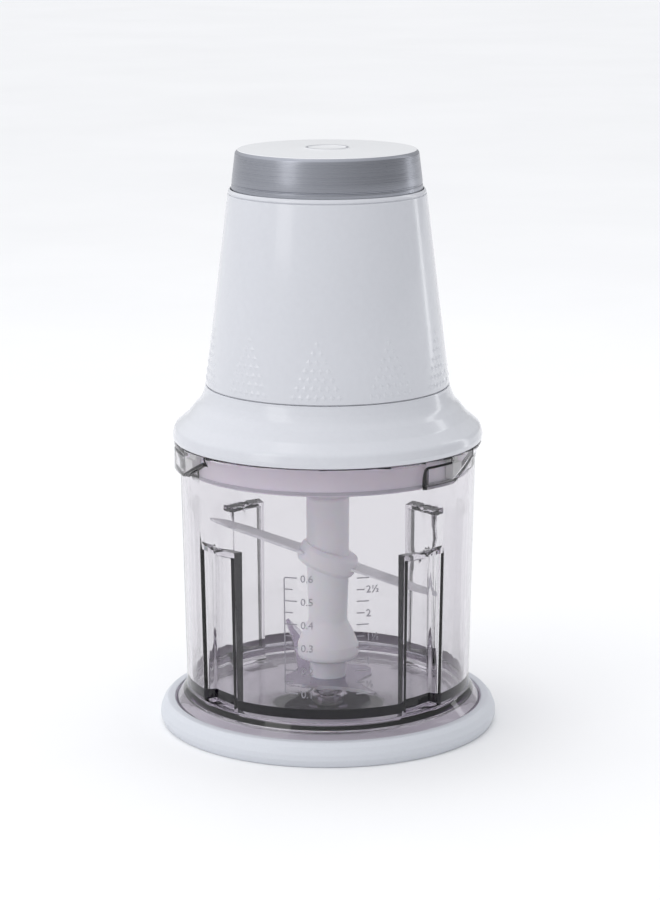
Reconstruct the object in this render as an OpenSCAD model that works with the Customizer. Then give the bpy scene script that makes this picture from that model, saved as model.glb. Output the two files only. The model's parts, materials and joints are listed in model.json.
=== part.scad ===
// Mini chopper: a press-cap motor head on a clear ribbed bowl, with a two-level blade and a non-slip base.
// Millimetres, +Z up, origin at the centre of the underside, front towards -Y.

/* [Base] */
// How far the base ring reaches out past the bowl's foot
base_lip = 6.3; // [4:0.1:10]
// Height of the base ring
base_h = 10; // [8:0.5:12]
// Thickness of the base's floor
base_floor = 2.6; // [2:0.1:3.5]

/* [Bowl] */
// Outer radius of the bowl just above its foot
bowl_r = 59.7; // [56:0.1:72]
// How much wider the wall is at its top than at its foot
bowl_taper = 1.9; // [1:0.1:3]
// Height from the bowl's floor to its rim
bowl_depth = 110.2; // [96:0.1:140]
// Thickness of the bowl's wall
bowl_wall = 2.2; // [1.8:0.1:2.6]
// Thickness of the bowl's floor
bowl_floor = 2; // [1.6:0.1:3]
// Number of flow ribs round the wall
rib_count = 4; // [3:1:5]
// Width of one rib, in degrees round the bowl
rib_angle = 22; // [14:1:28]
// How deep a rib is pressed in from outside
rib_depth = 4.4; // [3:0.1:5]
// Height of a rib's top above the bowl's floor
rib_height = 71.7; // [55:0.1:88]

/* [Blade] */
// Radius of the pin the blade turns on
pin_r = 3; // [2.5:0.1:3.4]
// Radius of the blade's hub
hub_r = 9; // [7.5:0.1:10.8]
// Gap between the upper blade's tips and the ribs
upper_gap = 3.5; // [2:0.5:8]
// Gap between the lower blade's tips and the ribs
lower_gap = 5.5; // [2:0.5:8]
// Tilt of the upper blade
upper_tilt = 19.9; // [8:0.1:22]
// Height of the upper blade's middle above the bowl's floor
upper_rise = 58.3; // [50:0.1:70]
// Thickness of the blade steel
blade_t = 1.2; // [0.8:0.1:1.5]

/* [Head] */
// Height of the flared skirt
skirt_h = 22.7; // [18:0.1:28]
// Outer radius of the seam between skirt and housing
seam_r = 50.5; // [49:0.1:56]
// Height of the motor housing from its seam to its shoulder
housing_h = 79.2; // [78:0.1:100]
// Outer radius of the housing's shoulder
shoulder_r = 40.8; // [40:0.1:46]
// Wall of the head's plastic shells
shell_wall = 2.4; // [2:0.1:2.8]
// Turn that locks the head on the bowl, in degrees
lock_turn = 13; // [10:0.5:14]

/* [Cap] */
// Height of the cap above the shoulder
cap_rise = 18.5; // [16:0.1:22]
// How far the cap is pressed
cap_travel = 4; // [2:0.5:4.5]
// Gap between the cap and the bore it sinks into
cap_gap = 0.4; // [0.3:0.05:0.8]
// Wall of the cap
cap_wall = 1.6; // [1.2:0.1:2]

/* [Gears] */
// Module of the gear teeth
gear_module = 0.8; // [0.7:0.05:0.85]
// Height of the planet gears
gear_h = 8; // [6:0.5:9]
// Gap between the flanks of meshing teeth
backlash = 0.16; // [0.1:0.02:0.2]

/* [Motor] */
// Outer radius of the field core
stator_r = 29; // [27:0.5:30]
// Radius of the armature core
armature_r = 13.6; // [12:0.1:15]
// Length of both cores
core_h = 28; // [24:1:30]
// Radius of the motor shaft
shaft_r = 2; // [1.6:0.1:2.4]

/* [Hidden] */
$fn = 96;

run_gap = 0.04;      // radial play of a shaft in its bush
slide_gap = 0.08;    // radial play of a sliding post or pin
part_gap = 0.4;      // play between big moulded pieces
eps = 0.01;

// Stack of heights, from the bench up
foot_h = 6.4;
floor_under = base_floor + foot_h;
floor_top = floor_under + bowl_floor;
rim_z = floor_top + bowl_depth;
head_z = rim_z + part_gap;
seam_z = head_z + skirt_h;
shoulder_z = seam_z + housing_h;
total_h = shoulder_z + cap_rise;

// Bowl wall: radius of the outside and of the inside at a height
wall_z0 = floor_top + 7.8;
flare_z = rim_z - 7.2;
wall_top_r = bowl_r + bowl_taper;
rim_r = wall_top_r + 2.4;
rim_in = wall_top_r + 0.3;
foot_r = bowl_r + 4.7;
foot_wall = 2.2;
function wall_out(z) = bowl_r + bowl_taper * (z - wall_z0) / (flare_z - wall_z0);
function wall_in(z) = wall_out(z) - bowl_wall;
rib_face_r = bowl_r - rib_depth + 0.4;
rib_in_r = rib_face_r - bowl_wall;
rib_turn = -139;     // where the first rib stands, from +X
foot_gap = 0.3;      // play of the foot in the base ring
base_r = foot_r + foot_gap + base_lip;
upper_tip_r = rib_in_r - upper_gap;
lower_tip_r = rib_in_r - lower_gap;

// Bayonet pockets in the bowl's mouth: a closed run, then a ramp that opens upwards
lock_count = 3;
lock_first = -50.5;  // angle of a pocket's blunt end, from +X
pocket_r = rim_in + 0.8;
channel_r = rim_in - 0.8;
boss_r = rim_r + 0.1;
pocket_low = rim_z - 10.2;
pocket_top = rim_z - 2.9;
hook_angle = 6;
hook_t = 1.8;
hook_play = 1;       // free turn left at each end of the lock
ramp_angle = 15;
ramp_drop = 2.6;     // how far below the rim the ramp ends
hook_out = channel_r - part_gap;
hook_tip = pocket_r - part_gap;
hook_entry = lock_first + lock_turn + hook_angle / 2 + hook_play;

// Lid
lid_r = wall_in(rim_z - 11) - 0.9;
lid_wall = 2.2;
flange_t = 2;
flange_r = wall_in(rim_z - 2) - 0.1;
lid_top = rim_z + 0.1;
lid_low = rim_z - 11.9;
lid_hole = 9;
key_w = 6;
key_r = rim_in + 0.8;
seal_h = 1.2;
seal_z = lid_low + 0.6;
seal_in = lid_r - 1.4;
seal_out = wall_in(seal_z) - 0.3;

// Blade set
hub_low = floor_top + 2;
neck_r = hub_r - 2.3;
neck_z = rim_z - 25;
neck_top = rim_z - 4.2;
hub_bore = hub_r - 4.5;
bore_top = neck_z - 8;
bush_h = 8;
pin_top = bore_top - 2;
upper_z = floor_top + upper_rise;
lower_z = floor_top + 6;
collar_r = hub_r + 3.6;
collar_h = 8.5;
bell_r = hub_r + 4;
bell_z = floor_top + 16;
lower_turn = -66;    // direction of the lower blade's front arm
lower_bend_r = 14;
front_bend = 9;
back_bend = 23;

// Drive coupling in the hub's neck
socket_r = neck_r - 1.9;
socket_z = neck_top - 10;
dog_core_r = 2.4;
dog_r = socket_r - part_gap;
dog_h = 8;
dog_angle = 50;
jaw_in = dog_core_r + 0.5;
jaw_angle = 38;
jaw_h = 8;

// Gearbox: 12-tooth sun, 18-tooth planets, 48-tooth ring, all in one stage
sun_teeth = 12;
planet_teeth = 18;
ring_teeth = sun_teeth + 2 * planet_teeth;
planet_count = 3;
pressure_angle = 20;
addendum = 0.82 * gear_module;
dedendum = 1.2 * gear_module;
centre_r = gear_module * (sun_teeth + planet_teeth) / 2;
ring_root = gear_module * ring_teeth / 2 + dedendum;
ring_out = ring_root + 2.6;
plate_t = 2.4;
plate_top = head_z + plate_t;
box_wall = 2.6;
box_r = ring_out + box_wall;
box_floor = 3;
carrier_z = plate_top + box_floor + 0.6;
carrier_t = 3;
gear_z = carrier_z + carrier_t + 0.4;
box_top = gear_z + gear_h + 0.8;
planet_pin_r = 1.5;
out_r = 3;
out_bush_r = 5.5;
carrier_r = centre_r + 5;

// Motor
bracket_t = 4;
bracket_r = stator_r;
low_bush_r = 5;
low_bush_h = 6;
fan_z = box_top + bracket_t + 4;
fan_h = 6;
fan_r = stator_r - 8;
core_z = fan_z + fan_h + 5;
core_top = core_z + core_h;
air_gap = 0.5;
slot_count = 10;
comm_r = 7;
comm_h = 9;
comm_z = core_top + 6;
up_bracket_z = comm_z + comm_h + 2.5;
up_bush_h = 5;
shaft_top = up_bracket_z + up_bush_h;
shaft_low = gear_z + 0.3;
bolt_r = 1.6;
bolt_ring = stator_r - 4;
post_wall = 1.6;
coil_r = bolt_ring - bolt_r - post_wall - 0.3;
brush_w = 4;
brush_h = 5;
brush_z = comm_z + comm_h / 2;
brush_in = comm_r + 0.1;
brush_len = 8;
holder_t = 0.8;
holder_in = comm_r + 1.5;
holder_len = 13;
ring_rubber = 2.5;

// Housing shell: a straight cone from the seam to the shoulder
function shell_r(z) = seam_r + (shoulder_r - seam_r) * (z - seam_z) / housing_h;
lip_z = shoulder_z + 1.9;
cap_low_r = shoulder_r - 1.6;
cap_bore = cap_low_r + cap_gap;
deck_z = shoulder_z - 11.5;
deck_t = 2.5;
deck_top = deck_z + deck_t;
boss_ring = seam_r - 8.3;
boss_out = 4;
boss_top = seam_z + 20;
vent_count = 7;

// Cap
cap_top_r = cap_low_r - 2.1;
cap_low_z = shoulder_z - 1.7;
cap_crown = 1;
post_count = 3;
post_r = 3;
post_ring = 26;
insert_z = total_h - 9;
insert_t = 2.4;
sleeve_r = 5;
sleeve_h = 9.4;
sleeve_top = deck_top + sleeve_h;
post_low = up_bracket_z + bracket_t + cap_travel + 0.6;
spring_r = 4.1;
spring_wire = 0.45;
spring_turns = 4;

// Run switch and its lever
switch_l = 20;
switch_w = 8;
switch_h = 9;
switch_top = deck_top + switch_h;
pivot_x = -8;
pivot_z = switch_top + 2.2;
pivot_r = 0.8;
lever_angle = 14;
plunger_x = 8;
plunger_r = 1.6;
lever_arm = plunger_x - pivot_x;
lever_t = 0.8;

// Lock sensing: a ramp on the lid lifts a pin as the head is turned
sense_ring = seam_r - 7.5;
sense_lift = 2.3;
sense_pin_r = 1.5;
sense_low = lid_top + 0.35;
guide_h = 5;
sense_top = plate_top + guide_h + 4;
sense_switch_z = sense_top + sense_lift + 1;
sense_at = 180;

// Cord gland at the rear
gland_z = seam_z + 13;
gland_bore = 3.5;
gland_r = 5.5;
gland_out = shell_r(gland_z) + 9;
gland_in = shell_r(gland_z) - 9;

// ---- helpers ----

module ring(r_out, r_in, h) {
    linear_extrude(h) difference() {
        circle(r = r_out);
        circle(r = r_in);
    }
}

// Part of a ring, from angle a0 over a sweep
module sector(r_in, r_out, a0, sweep, h) {
    rotate([0, 0, a0]) rotate_extrude(angle = sweep)
        translate([r_in, 0]) square([r_out - r_in, h]);
}

module around(n, first = 0) {
    for (i = [0:n - 1]) rotate([0, 0, first + i * 360 / n]) children();
}

// Angle between a tooth's middle and its involute flank at radius r, in degrees
function inv_deg(a) = tan(a) * 180 / PI - a;
function flank(teeth, r, play) =
    let (pitch_r = teeth * gear_module / 2, base = pitch_r * cos(pressure_angle))
    90 / teeth - play * 90 / PI / pitch_r + inv_deg(pressure_angle)
    - inv_deg(acos(base / max(r, base)));

function polar(r, a) = [r * cos(a), r * sin(a)];

// Outline of a toothed wheel with a tooth on +X
function wheel(teeth, tip, root, play) =
    let (steps = 4, radii = [for (k = [0:steps]) root + (tip - root) * k / steps])
    [for (t = [0:teeth - 1]) each concat(
        [for (k = [0:steps]) polar(radii[k], t * 360 / teeth - flank(teeth, radii[k], play))],
        [for (k = [steps:-1:0]) polar(radii[k], t * 360 / teeth + flank(teeth, radii[k], play))])];

function pitch(teeth) = teeth * gear_module / 2;

// Helical spring as a stack of closed turns
module coil(r, wire, turns, low, high) {
    step = (high - low - 2 * wire) / (turns - 1);
    for (i = [0:turns - 1]) translate([0, 0, low + wire + i * step])
        rotate_extrude($fn = 48) translate([r, 0]) circle(r = wire, $fn = 16);
    for (i = [0:turns - 2]) rotate([0, 0, i * 180]) translate([r, 0, low + wire + i * step])
        cylinder(r = wire * 0.7, h = step, $fn = 16);
}

// ---- base ----

module non_slip_base() {
    edge = 3;
    color("whitesmoke") difference() {
        rotate_extrude() polygon(concat(
            [[0, 0], [base_r - 0.7, 0]],
            [for (a = [-60:15:75]) [base_r - edge + edge * cos(a), 4.2 + 4.2 * sin(a)
                * (a > 0 ? (base_h - 4.2) / 4.2 : 1)]],
            [[base_r - edge, base_h], [foot_r + foot_gap + 0.7, base_h],
             [foot_r + foot_gap, base_h - 0.7], [foot_r + foot_gap, base_floor], [0, base_floor]]));
        translate([0, 0, -eps]) around(6) sector(20, 50, 8, 44, 1);
    }
}

// ---- bowl ----

module bowl_section() {
    polygon([
        [0, floor_under], [bowl_r - 6.2, floor_under], [bowl_r - 2.9, floor_under + 1.2],
        [bowl_r - 0.9, floor_under + 3.6], [foot_r - foot_wall, base_h - 1.6],
        [foot_r - foot_wall, base_floor + 0.4], [foot_r, base_floor + 0.4],
        [foot_r, base_h - 0.7], [bowl_r + 0.2, floor_top + 5.2], [bowl_r, wall_z0],
        [wall_top_r, flare_z], [wall_top_r + 1, rim_z - 3.2], [rim_r, rim_z - 1.2],
        [rim_r, rim_z], [rim_in, rim_z], [wall_top_r - 1, rim_z - 3],
        [wall_in(flare_z), flare_z], [wall_in(wall_z0), wall_z0 - 0.8],
        [wall_in(wall_z0) - 0.9, floor_top + 3], [wall_in(wall_z0) - 3, floor_top + 0.6],
        [wall_in(wall_z0) - 5, floor_top], [0, floor_top]
    ]);
}

// Outline of a bayonet pocket seen from outside, grown all round by g
module pocket_outline(g) {
    closed = PI * pocket_r / 180 * (lock_turn + 0.3);
    ramp = PI * pocket_r / 180 * ramp_angle;
    corner = 2;
    high = pocket_top - pocket_low;
    translate([corner - g, pocket_low - g]) square([closed - corner + 2 * g, high + 2 * g]);
    translate([-g, pocket_low + corner - g]) square([corner + 2 * g, high - 2 * corner + 2 * g]);
    for (z = [pocket_low + corner, pocket_top - corner])
        translate([corner, z]) circle(r = corner + g, $fn = 32);
    polygon([[closed - eps, pocket_low - g], [closed + ramp + g, rim_z - ramp_drop - g],
        [closed + ramp + g, rim_z + 1], [closed - eps, rim_z + 1]]);
}

// The outline pushed outwards through the wall, with its blunt end at lock_first
module pocket_block(g, r_out) {
    mid = (lock_turn + ramp_angle) / 2;
    width = PI * pocket_r / 180 * 2 * mid;
    intersection() {
        rotate([0, 0, lock_first + mid]) translate([bowl_r - 8, 0, 0]) rotate([90, 0, 90])
            translate([-width / 2, 0]) linear_extrude(20) pocket_outline(g);
        cylinder(r = r_out, h = rim_z);
    }
}

// Raised volume marks: two upright lines on the front, each with a row of ticks
module bowl_scale() {
    steps = 10;
    scale_low = floor_top + 16.5;
    scale_h = 48.5;
    lean = atan(bowl_taper / (flare_z - wall_z0));
    for (a = [-16.6, 9]) rotate([0, 0, a - 90]) {
        translate([wall_out(scale_low) - 0.8, -0.25, scale_low]) rotate([0, lean, 0])
            translate([0, 0, -0.6]) cube([1.15, 0.5, scale_h + 1.8]);
        for (i = [0:steps]) {
            z = scale_low + i * scale_h / steps;
            long = (i % 2 == 0) ? 5.2 : 3.4;
            translate([wall_out(z) - 0.9, 0, z]) cube([1.3, long, 0.5]);
        }
    }
}

module bowl() {
    color([0.8, 0.78, 0.83, 0.5]) difference() {
        union() {
            rotate_extrude() bowl_section();
            // inner face and top of each flow rib
            around(rib_count, rib_turn - rib_angle / 2)
                translate([0, 0, floor_top - 0.5])
                    sector(rib_in_r, wall_in(wall_z0) + 1, 0, rib_angle, rib_height + 0.5);
            // bosses that hold the bayonet pockets
            around(lock_count) intersection() {
                pocket_block(1.2, boss_r);
                difference() {
                    cylinder(r = boss_r, h = rim_z);
                    translate([0, 0, pocket_low - 2]) cylinder(r1 = wall_in(pocket_low) + 0.9,
                        r2 = rim_in + 0.3, h = rim_z - pocket_low + 2 + eps);
                }
            }
            // boss that holds the pin
            translate([0, 0, floor_under - 3.4]) cylinder(r = 8, h = 3.4 + eps);
            translate([0, 0, floor_top - eps]) cylinder(r = 5.6, h = 1.2);
            bowl_scale();
        }
        // the ribs are pockets on the outside
        around(rib_count, rib_turn - rib_angle / 2 + 2)
            translate([0, 0, floor_top + 5.6])
                sector(rib_face_r, bowl_r + 4, 0, rib_angle - 4, rib_height - 5.6 - bowl_wall);
        around(lock_count) {
            pocket_block(0, pocket_r);
            translate([0, 0, pocket_low])
                sector(bowl_r - 8, channel_r, lock_first, lock_turn + hook_angle + 2 * hook_play, 20);
        }
        // notch for the lid's key
        rotate([0, 0, 90]) translate([bowl_r - 3, -key_w / 2 - 0.4, rim_z - 2.4])
            cube([key_r + part_gap - bowl_r + 3, key_w + 0.8, 4]);
        translate([0, 0, floor_under - 4]) cylinder(r = pin_r, h = 20);
    }
}

module bowl_pin() {
    color("silver") {
        translate([0, 0, floor_under - 3]) cylinder(r = pin_r, h = pin_top - floor_under + 1);
        translate([0, 0, pin_top - 2]) cylinder(r1 = pin_r, r2 = pin_r - 1.2, h = 2);
    }
}

// ---- blade set ----

module upper_outline() {
    reach = upper_tip_r / cos(upper_tilt);
    half = [[0, -7], [reach - 18, -7], [reach - 7, -4], [reach - 0.5, 2.4],
        [reach - 1.5, 4.4], [reach - 12, 6.4], [14, 7], [0, 7]];
    for (s = [0, 180]) rotate(s) polygon(half);
}

module upper_solid() {
    difference() {
        translate([0, 0, upper_z]) rotate([0, upper_tilt, 0]) translate([0, 0, -blade_t / 2])
            linear_extrude(blade_t) upper_outline();
        cylinder(r = hub_bore + 1.4, h = total_h);
    }
}

module upper_blade() {
    color("lightgray") upper_solid();
}

// One arm of the sickle, beyond the bend, with the bend line at x = 0
module lower_arm() {
    reach = lower_tip_r - lower_bend_r;
    polygon([[-eps, 8], [reach * 0.5, 6], [reach - 1, 1.2], [reach, -0.6], [reach * 0.52, -5.6],
        [reach * 0.3, -8], [-eps, -14]]);
}

module lower_solid() {
    bends = [front_bend, back_bend];
    lobe = [[lower_bend_r, 8], [9, 13], [6.5, 17.6], [0, 20.4], [-6, 20.4], [-lower_bend_r, 14]];
    difference() {
        translate([0, 0, lower_z]) rotate([0, 0, lower_turn]) union() {
            linear_extrude(blade_t) polygon([for (s = [1, -1], p = lobe) s * p]);
            for (k = [0, 1]) rotate([0, 0, 180 * k]) translate([lower_bend_r, 0, 0])
                rotate([0, -bends[k], 0]) linear_extrude(blade_t) lower_arm();
        }
        cylinder(r = hub_bore + 1.2, h = total_h);
    }
}

module lower_blade() {
    color("gainsboro") lower_solid();
}

module blade_hub() {
    color([0.9, 0.89, 0.94]) difference() {
        union() {
            rotate_extrude() polygon(concat(
                [[0, hub_low], [hub_r - 1.7, hub_low], [hub_r - 1.3, bell_z],
                 [bell_r - 0.6, bell_z], [bell_r, bell_z + 0.8], [bell_r, bell_z + 5],
                 [bell_r - 1, bell_z + 8], [hub_r + 0.6, bell_z + 12], [hub_r - 0.8, bell_z + 17],
                 [hub_r, upper_z - 4], [hub_r, neck_z - 4]],
                [for (a = [15:15:75]) [hub_r - 4 + 4 * cos(a), neck_z - 4 + 4 * sin(a)]],
                [[neck_r, neck_z], [neck_r, neck_top - 0.6], [neck_r - 0.6, neck_top], [0, neck_top]]));
            translate([0, 0, upper_z]) rotate([0, upper_tilt, 0])
                cylinder(r = collar_r, h = collar_h, center = true);
        }
        cylinder(r = hub_bore, h = bore_top);
        translate([0, 0, socket_z]) cylinder(r = socket_r, h = 20);
        upper_solid();
        lower_solid();
    }
    // the two jaws of the drive socket
    color([0.9, 0.89, 0.94]) for (a = [90, 270]) translate([0, 0, socket_z - eps])
        sector(jaw_in, socket_r + 0.5, a - jaw_angle / 2, jaw_angle, jaw_h);
}

module hub_bushes() {
    color("goldenrod") for (z = [hub_low + 0.5, bore_top - bush_h])
        translate([0, 0, z]) ring(hub_bore, pin_r + run_gap, bush_h);
}

// ---- lid ----

module lid() {
    color([0.9, 0.87, 0.93]) difference() {
        union() {
            rotate_extrude() polygon([[lid_hole, lid_top - flange_t],
                [lid_r - lid_wall, lid_top - flange_t], [lid_r - lid_wall, lid_low],
                [lid_r, lid_low], [lid_r, seal_z], [seal_in, seal_z],
                [seal_in, seal_z + seal_h], [lid_r, seal_z + seal_h], [lid_r, lid_top - flange_t],
                [flange_r, lid_top - flange_t], [flange_r, lid_top], [lid_hole, lid_top]]);
            translate([0, 0, lid_top - 6]) ring(lid_hole + 2, lid_hole, 6);
            rotate([0, 0, 90]) translate([lid_r - 1, -key_w / 2, lid_top - flange_t])
                cube([key_r - lid_r + 1, key_w, 1.9]);
            // ramp that lifts the lock-sensing pin
            intersection() {
                rotate([0, 0, sense_at]) translate([sense_ring - 1.8, 0, lid_top - eps]) rotate([90, 0, 90])
                    linear_extrude(3.6) polygon([[-ramp_len() - 4, 0], [0, 0],
                        [-ramp_len(), sense_lift], [-ramp_len() - 4, sense_lift]]);
                ring(sense_ring + 2, sense_ring - 2, total_h);
            }
        }
        // room for the hooks of the head
        around(lock_count) translate([0, 0, lid_top - flange_t - eps])
            sector(lid_r + 0.2, rim_r, lock_first, lock_turn + hook_angle + 2 * hook_play, 3);
    }
}

function ramp_len() = PI * sense_ring / 180 * lock_turn;

module lid_seal() {
    color("gray") translate([0, 0, seal_z]) ring(seal_out, seal_in, seal_h);
}

// ---- head: skirt, lock ring and housing ----

module skirt_section() {
    t = shell_wall;
    lip_r = rim_r + 0.4;
    crease_r = seam_r + 4;
    crease_z = seam_z - 9.4;
    flare = concat(
        [[lip_r - 0.3, head_z], [lip_r, head_z + 1.8]],
        [for (a = [0:15:45]) [lip_r - 2.6 + 2.6 * cos(a), head_z + 2.6 + 3.2 * sin(a)]],
        [[crease_r, crease_z]],
        [for (k = [1:5]) let (s = k / 5) [crease_r - (crease_r - seam_r) * (1 - pow(1 - s, 2.1)),
            crease_z + (seam_z - crease_z) * s]]);
    inner = [[seam_r - t, seam_z], [seam_r - t, crease_z + 1], [crease_r - t + 0.2, crease_z - 2.2],
        [lip_r - 4.6, head_z + 4.2], [lip_r - t - 0.2, head_z + 2], [lip_r - t - 0.2, head_z]];
    polygon(concat(flare, inner));
}

module skirt_cover() {
    color("white") rotate_extrude() skirt_section();
}

module hook() {
    arm_z = pocket_low + 0.5;
    w = PI * pocket_r / 180 * hook_angle;
    slope = (rim_z - ramp_drop - pocket_low) / (PI * pocket_r / 180 * ramp_angle);
    rotate([0, 0, hook_entry]) {
        translate([0, 0, pocket_top - 1]) sector(hook_out - hook_t, hook_out, -hook_angle / 2, hook_angle,
            head_z - pocket_top + 1 + eps);
        intersection() {
            translate([0, 0, arm_z]) sector(hook_out - hook_t, hook_tip, -hook_angle / 2, hook_angle,
                pocket_top - 0.4 - arm_z);
            translate([bowl_r - 10, 0, 0]) rotate([90, 0, 90]) linear_extrude(20)
                polygon([[-w, arm_z], [-w / 2, arm_z], [w, arm_z + slope * w * 1.5 + 0.4],
                    [w, rim_z], [-w, rim_z]]);
        }
    }
}

module lock_ring() {
    color("white") difference() {
        union() {
            translate([0, 0, head_z]) ring(rim_r - 2.9, out_bush_r, plate_t);
            around(lock_count) hook();
            rotate([0, 0, sense_at]) translate([sense_ring - 4.2, -5, plate_top - eps])
                cube([8.4, 10, guide_h]);
            around(4, 45) translate([boss_ring, 0, head_z]) cylinder(r = 4.6, h = plate_t);
        }
        // window for the ramp, and the bore that guides the pin
        translate([0, 0, head_z - eps]) sector(sense_ring - 2.4, sense_ring + 2.4,
            sense_at - 2 * lock_turn - 8, 3 * lock_turn + 14, plate_t + 2 * eps);
        rotate([0, 0, sense_at]) translate([sense_ring, 0, head_z])
            cylinder(r = sense_pin_r + slide_gap, h = 20, $fn = 48);
        around(4, 45) translate([boss_ring, 0, head_z - 1]) cylinder(r = 1.7, h = 5, $fn = 32);
        around(3, 30) translate([ring_out + 0.4, 0, head_z - 1]) cylinder(r = 1.4, h = 5, $fn = 32);
    }
}

module motor_housing() {
    t = shell_wall;
    color("white") difference() {
        union() {
            rotate_extrude() polygon([[seam_r - t, seam_z], [seam_r, seam_z], [shoulder_r, shoulder_z],
                [shoulder_r - 0.3, shoulder_z + 0.9], [cap_bore + 0.5, lip_z], [cap_bore, lip_z - 0.3],
                [cap_bore, deck_z - 1], [shell_r(deck_z - 3) - t, deck_z - 3]]);
            // ledges that the switch plate rests on
            around(6, 30) intersection() {
                translate([cap_bore - 3, -3, deck_z - 5]) cube([6, 6, 5]);
                cylinder(r = shell_r(deck_z) - 0.5, h = total_h);
            }
            // screw bosses and the webs that tie them to the wall
            around(4, 45) intersection() {
                union() {
                    translate([boss_ring, 0, plate_top]) cylinder(r = boss_out, h = boss_top - plate_top);
                    translate([boss_ring, -1, seam_z + 0.5]) cube([8, 2, boss_top - seam_z - 0.5]);
                }
                union() {
                    cylinder(r = seam_r - t - 0.3, h = seam_z + 0.2);
                    translate([0, 0, seam_z + 0.2 - eps]) cylinder(r1 = shell_r(seam_z) - 1,
                        r2 = shell_r(boss_top) - 1, h = boss_top - seam_z);
                }
            }
            // webs that hold the motor's rubber ring
            around(4, 0) intersection() {
                translate([bracket_r + ring_rubber, -1, up_bracket_z - 3]) cube([20, 2, bracket_t + 6]);
                cylinder(r = shell_r(up_bracket_z + bracket_t + 3) - 0.6, h = total_h);
            }
        }
        around(4, 45) translate([boss_ring, 0, plate_top - eps]) cylinder(r = 1.25, h = 12, $fn = 32);
        // rear air vents, high for the intake and low for the outlet
        for (z = [deck_z - 16, seam_z + 4]) for (i = [0:vent_count - 1])
            rotate([0, 0, 90 + (z > seam_z + 20 ? 0 : 48) + (i - (vent_count - 1) / 2) * 5])
                translate([shoulder_r - 8, -0.8, z]) cube([25, 1.6, 8]);
        translate([0, gland_in, gland_z]) rotate([-90, 0, 0]) cylinder(r = gland_r, h = 30);
    }
}

module cord_gland() {
    color("dimgray") translate([0, gland_in, gland_z]) rotate([-90, 0, 0]) difference() {
        union() {
            cylinder(r = gland_r, h = gland_out - gland_in);
            translate([0, 0, gland_out - gland_in - 6.5]) cylinder(r = gland_r + 1.5, h = 2.4);
        }
        translate([0, 0, -1]) cylinder(r = gland_bore, h = 40);
    }
}

module gland_nut() {
    color("black") translate([0, gland_in + 1, gland_z]) rotate([-90, 0, 0]) linear_extrude(3)
        difference() {
            circle(r = gland_r + 3, $fn = 6);
            circle(r = gland_r);
        }
}

module housing_screws() {
    color("silver") around(4, 45) translate([boss_ring, 0, head_z]) {
        difference() {
            cylinder(r = 1.25, h = 12, $fn = 32);
            translate([0, 0, -eps]) cylinder(r = 0.5, h = 1, $fn = 6);
        }
    }
}

// ---- cap and switch ----

module top_cap() {
    t = cap_wall;
    color([0.72, 0.73, 0.76]) rotate_extrude() polygon(concat(
            [[cap_low_r - t, cap_low_z], [cap_low_r, cap_low_z], [cap_low_r, shoulder_z + 3.1],
             [cap_low_r - 0.4, shoulder_z + 7.1], [cap_low_r - 0.9, shoulder_z + 11.2]],
            [for (a = [0:18:90]) [cap_top_r - 0.8 + 1.8 * cos(a), total_h - 2.8 + 1.8 * sin(a)]],
            [[cap_top_r * 0.6, total_h - cap_crown * 0.36], [0, total_h], [0, total_h - t],
             [cap_top_r - t, total_h - t - cap_crown], [cap_low_r - t - 0.9, shoulder_z + 11.2]]));
}

module cap_insert() {
    color("white") {
        translate([0, 0, insert_z]) cylinder(r = cap_top_r - 2.6, h = insert_t);
        translate([0, 0, insert_z + insert_t - eps]) ring(cap_top_r - 2.6, cap_top_r - 4.6,
            total_h - cap_wall - cap_crown - insert_z - insert_t);
        around(post_count, 30) translate([post_ring, 0, post_low])
            cylinder(r = post_r, h = insert_z - post_low + eps);
        translate([plunger_x, 0, plunger_z() + plunger_r]) {
            cylinder(r = plunger_r, h = insert_z - plunger_z() - plunger_r + eps, $fn = 32);
            sphere(r = plunger_r, $fn = 32);
        }
    }
}

function plunger_z() = pivot_z + lever_arm * tan(lever_angle) + lever_t / cos(lever_angle) + 0.75;

module cap_springs() {
    color("silver") around(post_count, 30) translate([post_ring, 0, 0])
        coil(spring_r, spring_wire, spring_turns, sleeve_top, insert_z);
}

module switch_plate() {
    color("ivory") difference() {
        union() {
            translate([0, 0, deck_z]) cylinder(r = cap_bore - 0.2, h = deck_t);
            around(post_count, 30) translate([post_ring, 0, deck_top - eps])
                cylinder(r = sleeve_r, h = sleeve_h);
        }
        around(post_count, 30) translate([post_ring, 0, deck_z - 1])
            cylinder(r = post_r + slide_gap, h = sleeve_h + deck_t + 2);
        translate([0, 18, deck_z - 1]) cylinder(r = 4, h = 8);
    }
}

module run_switch() {
    ear_t = 1;
    color("black") {
        translate([-switch_l / 2, -switch_w / 2, deck_top]) cube([switch_l, switch_w, switch_h]);
        translate([1, 0, switch_top - eps]) cylinder(r = 1.2, h = 0.7, $fn = 32);
        for (y = [-switch_w / 2, switch_w / 2 - ear_t]) translate([pivot_x - 1.6, y, switch_top - eps])
            cube([3.2, ear_t, pivot_z - switch_top + 1.8]);
        translate([pivot_x, -switch_w / 2, pivot_z]) rotate([-90, 0, 0])
            cylinder(r = pivot_r, h = switch_w, $fn = 32);
    }
}

module switch_lever() {
    w = switch_w - 2 - 2 * 0.3;
    color("silver") translate([pivot_x, 0, pivot_z]) rotate([0, -lever_angle, 0]) difference() {
        union() {
            translate([0, w / 2, 0]) rotate([90, 0, 0]) cylinder(r = 1.5, h = w, $fn = 32);
            translate([0, -w / 2, 0]) cube([lever_arm / cos(lever_angle) + 3, w, lever_t]);
        }
        translate([0, w, 0]) rotate([90, 0, 0]) cylinder(r = pivot_r + run_gap, h = 2 * w, $fn = 32);
    }
}

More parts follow.
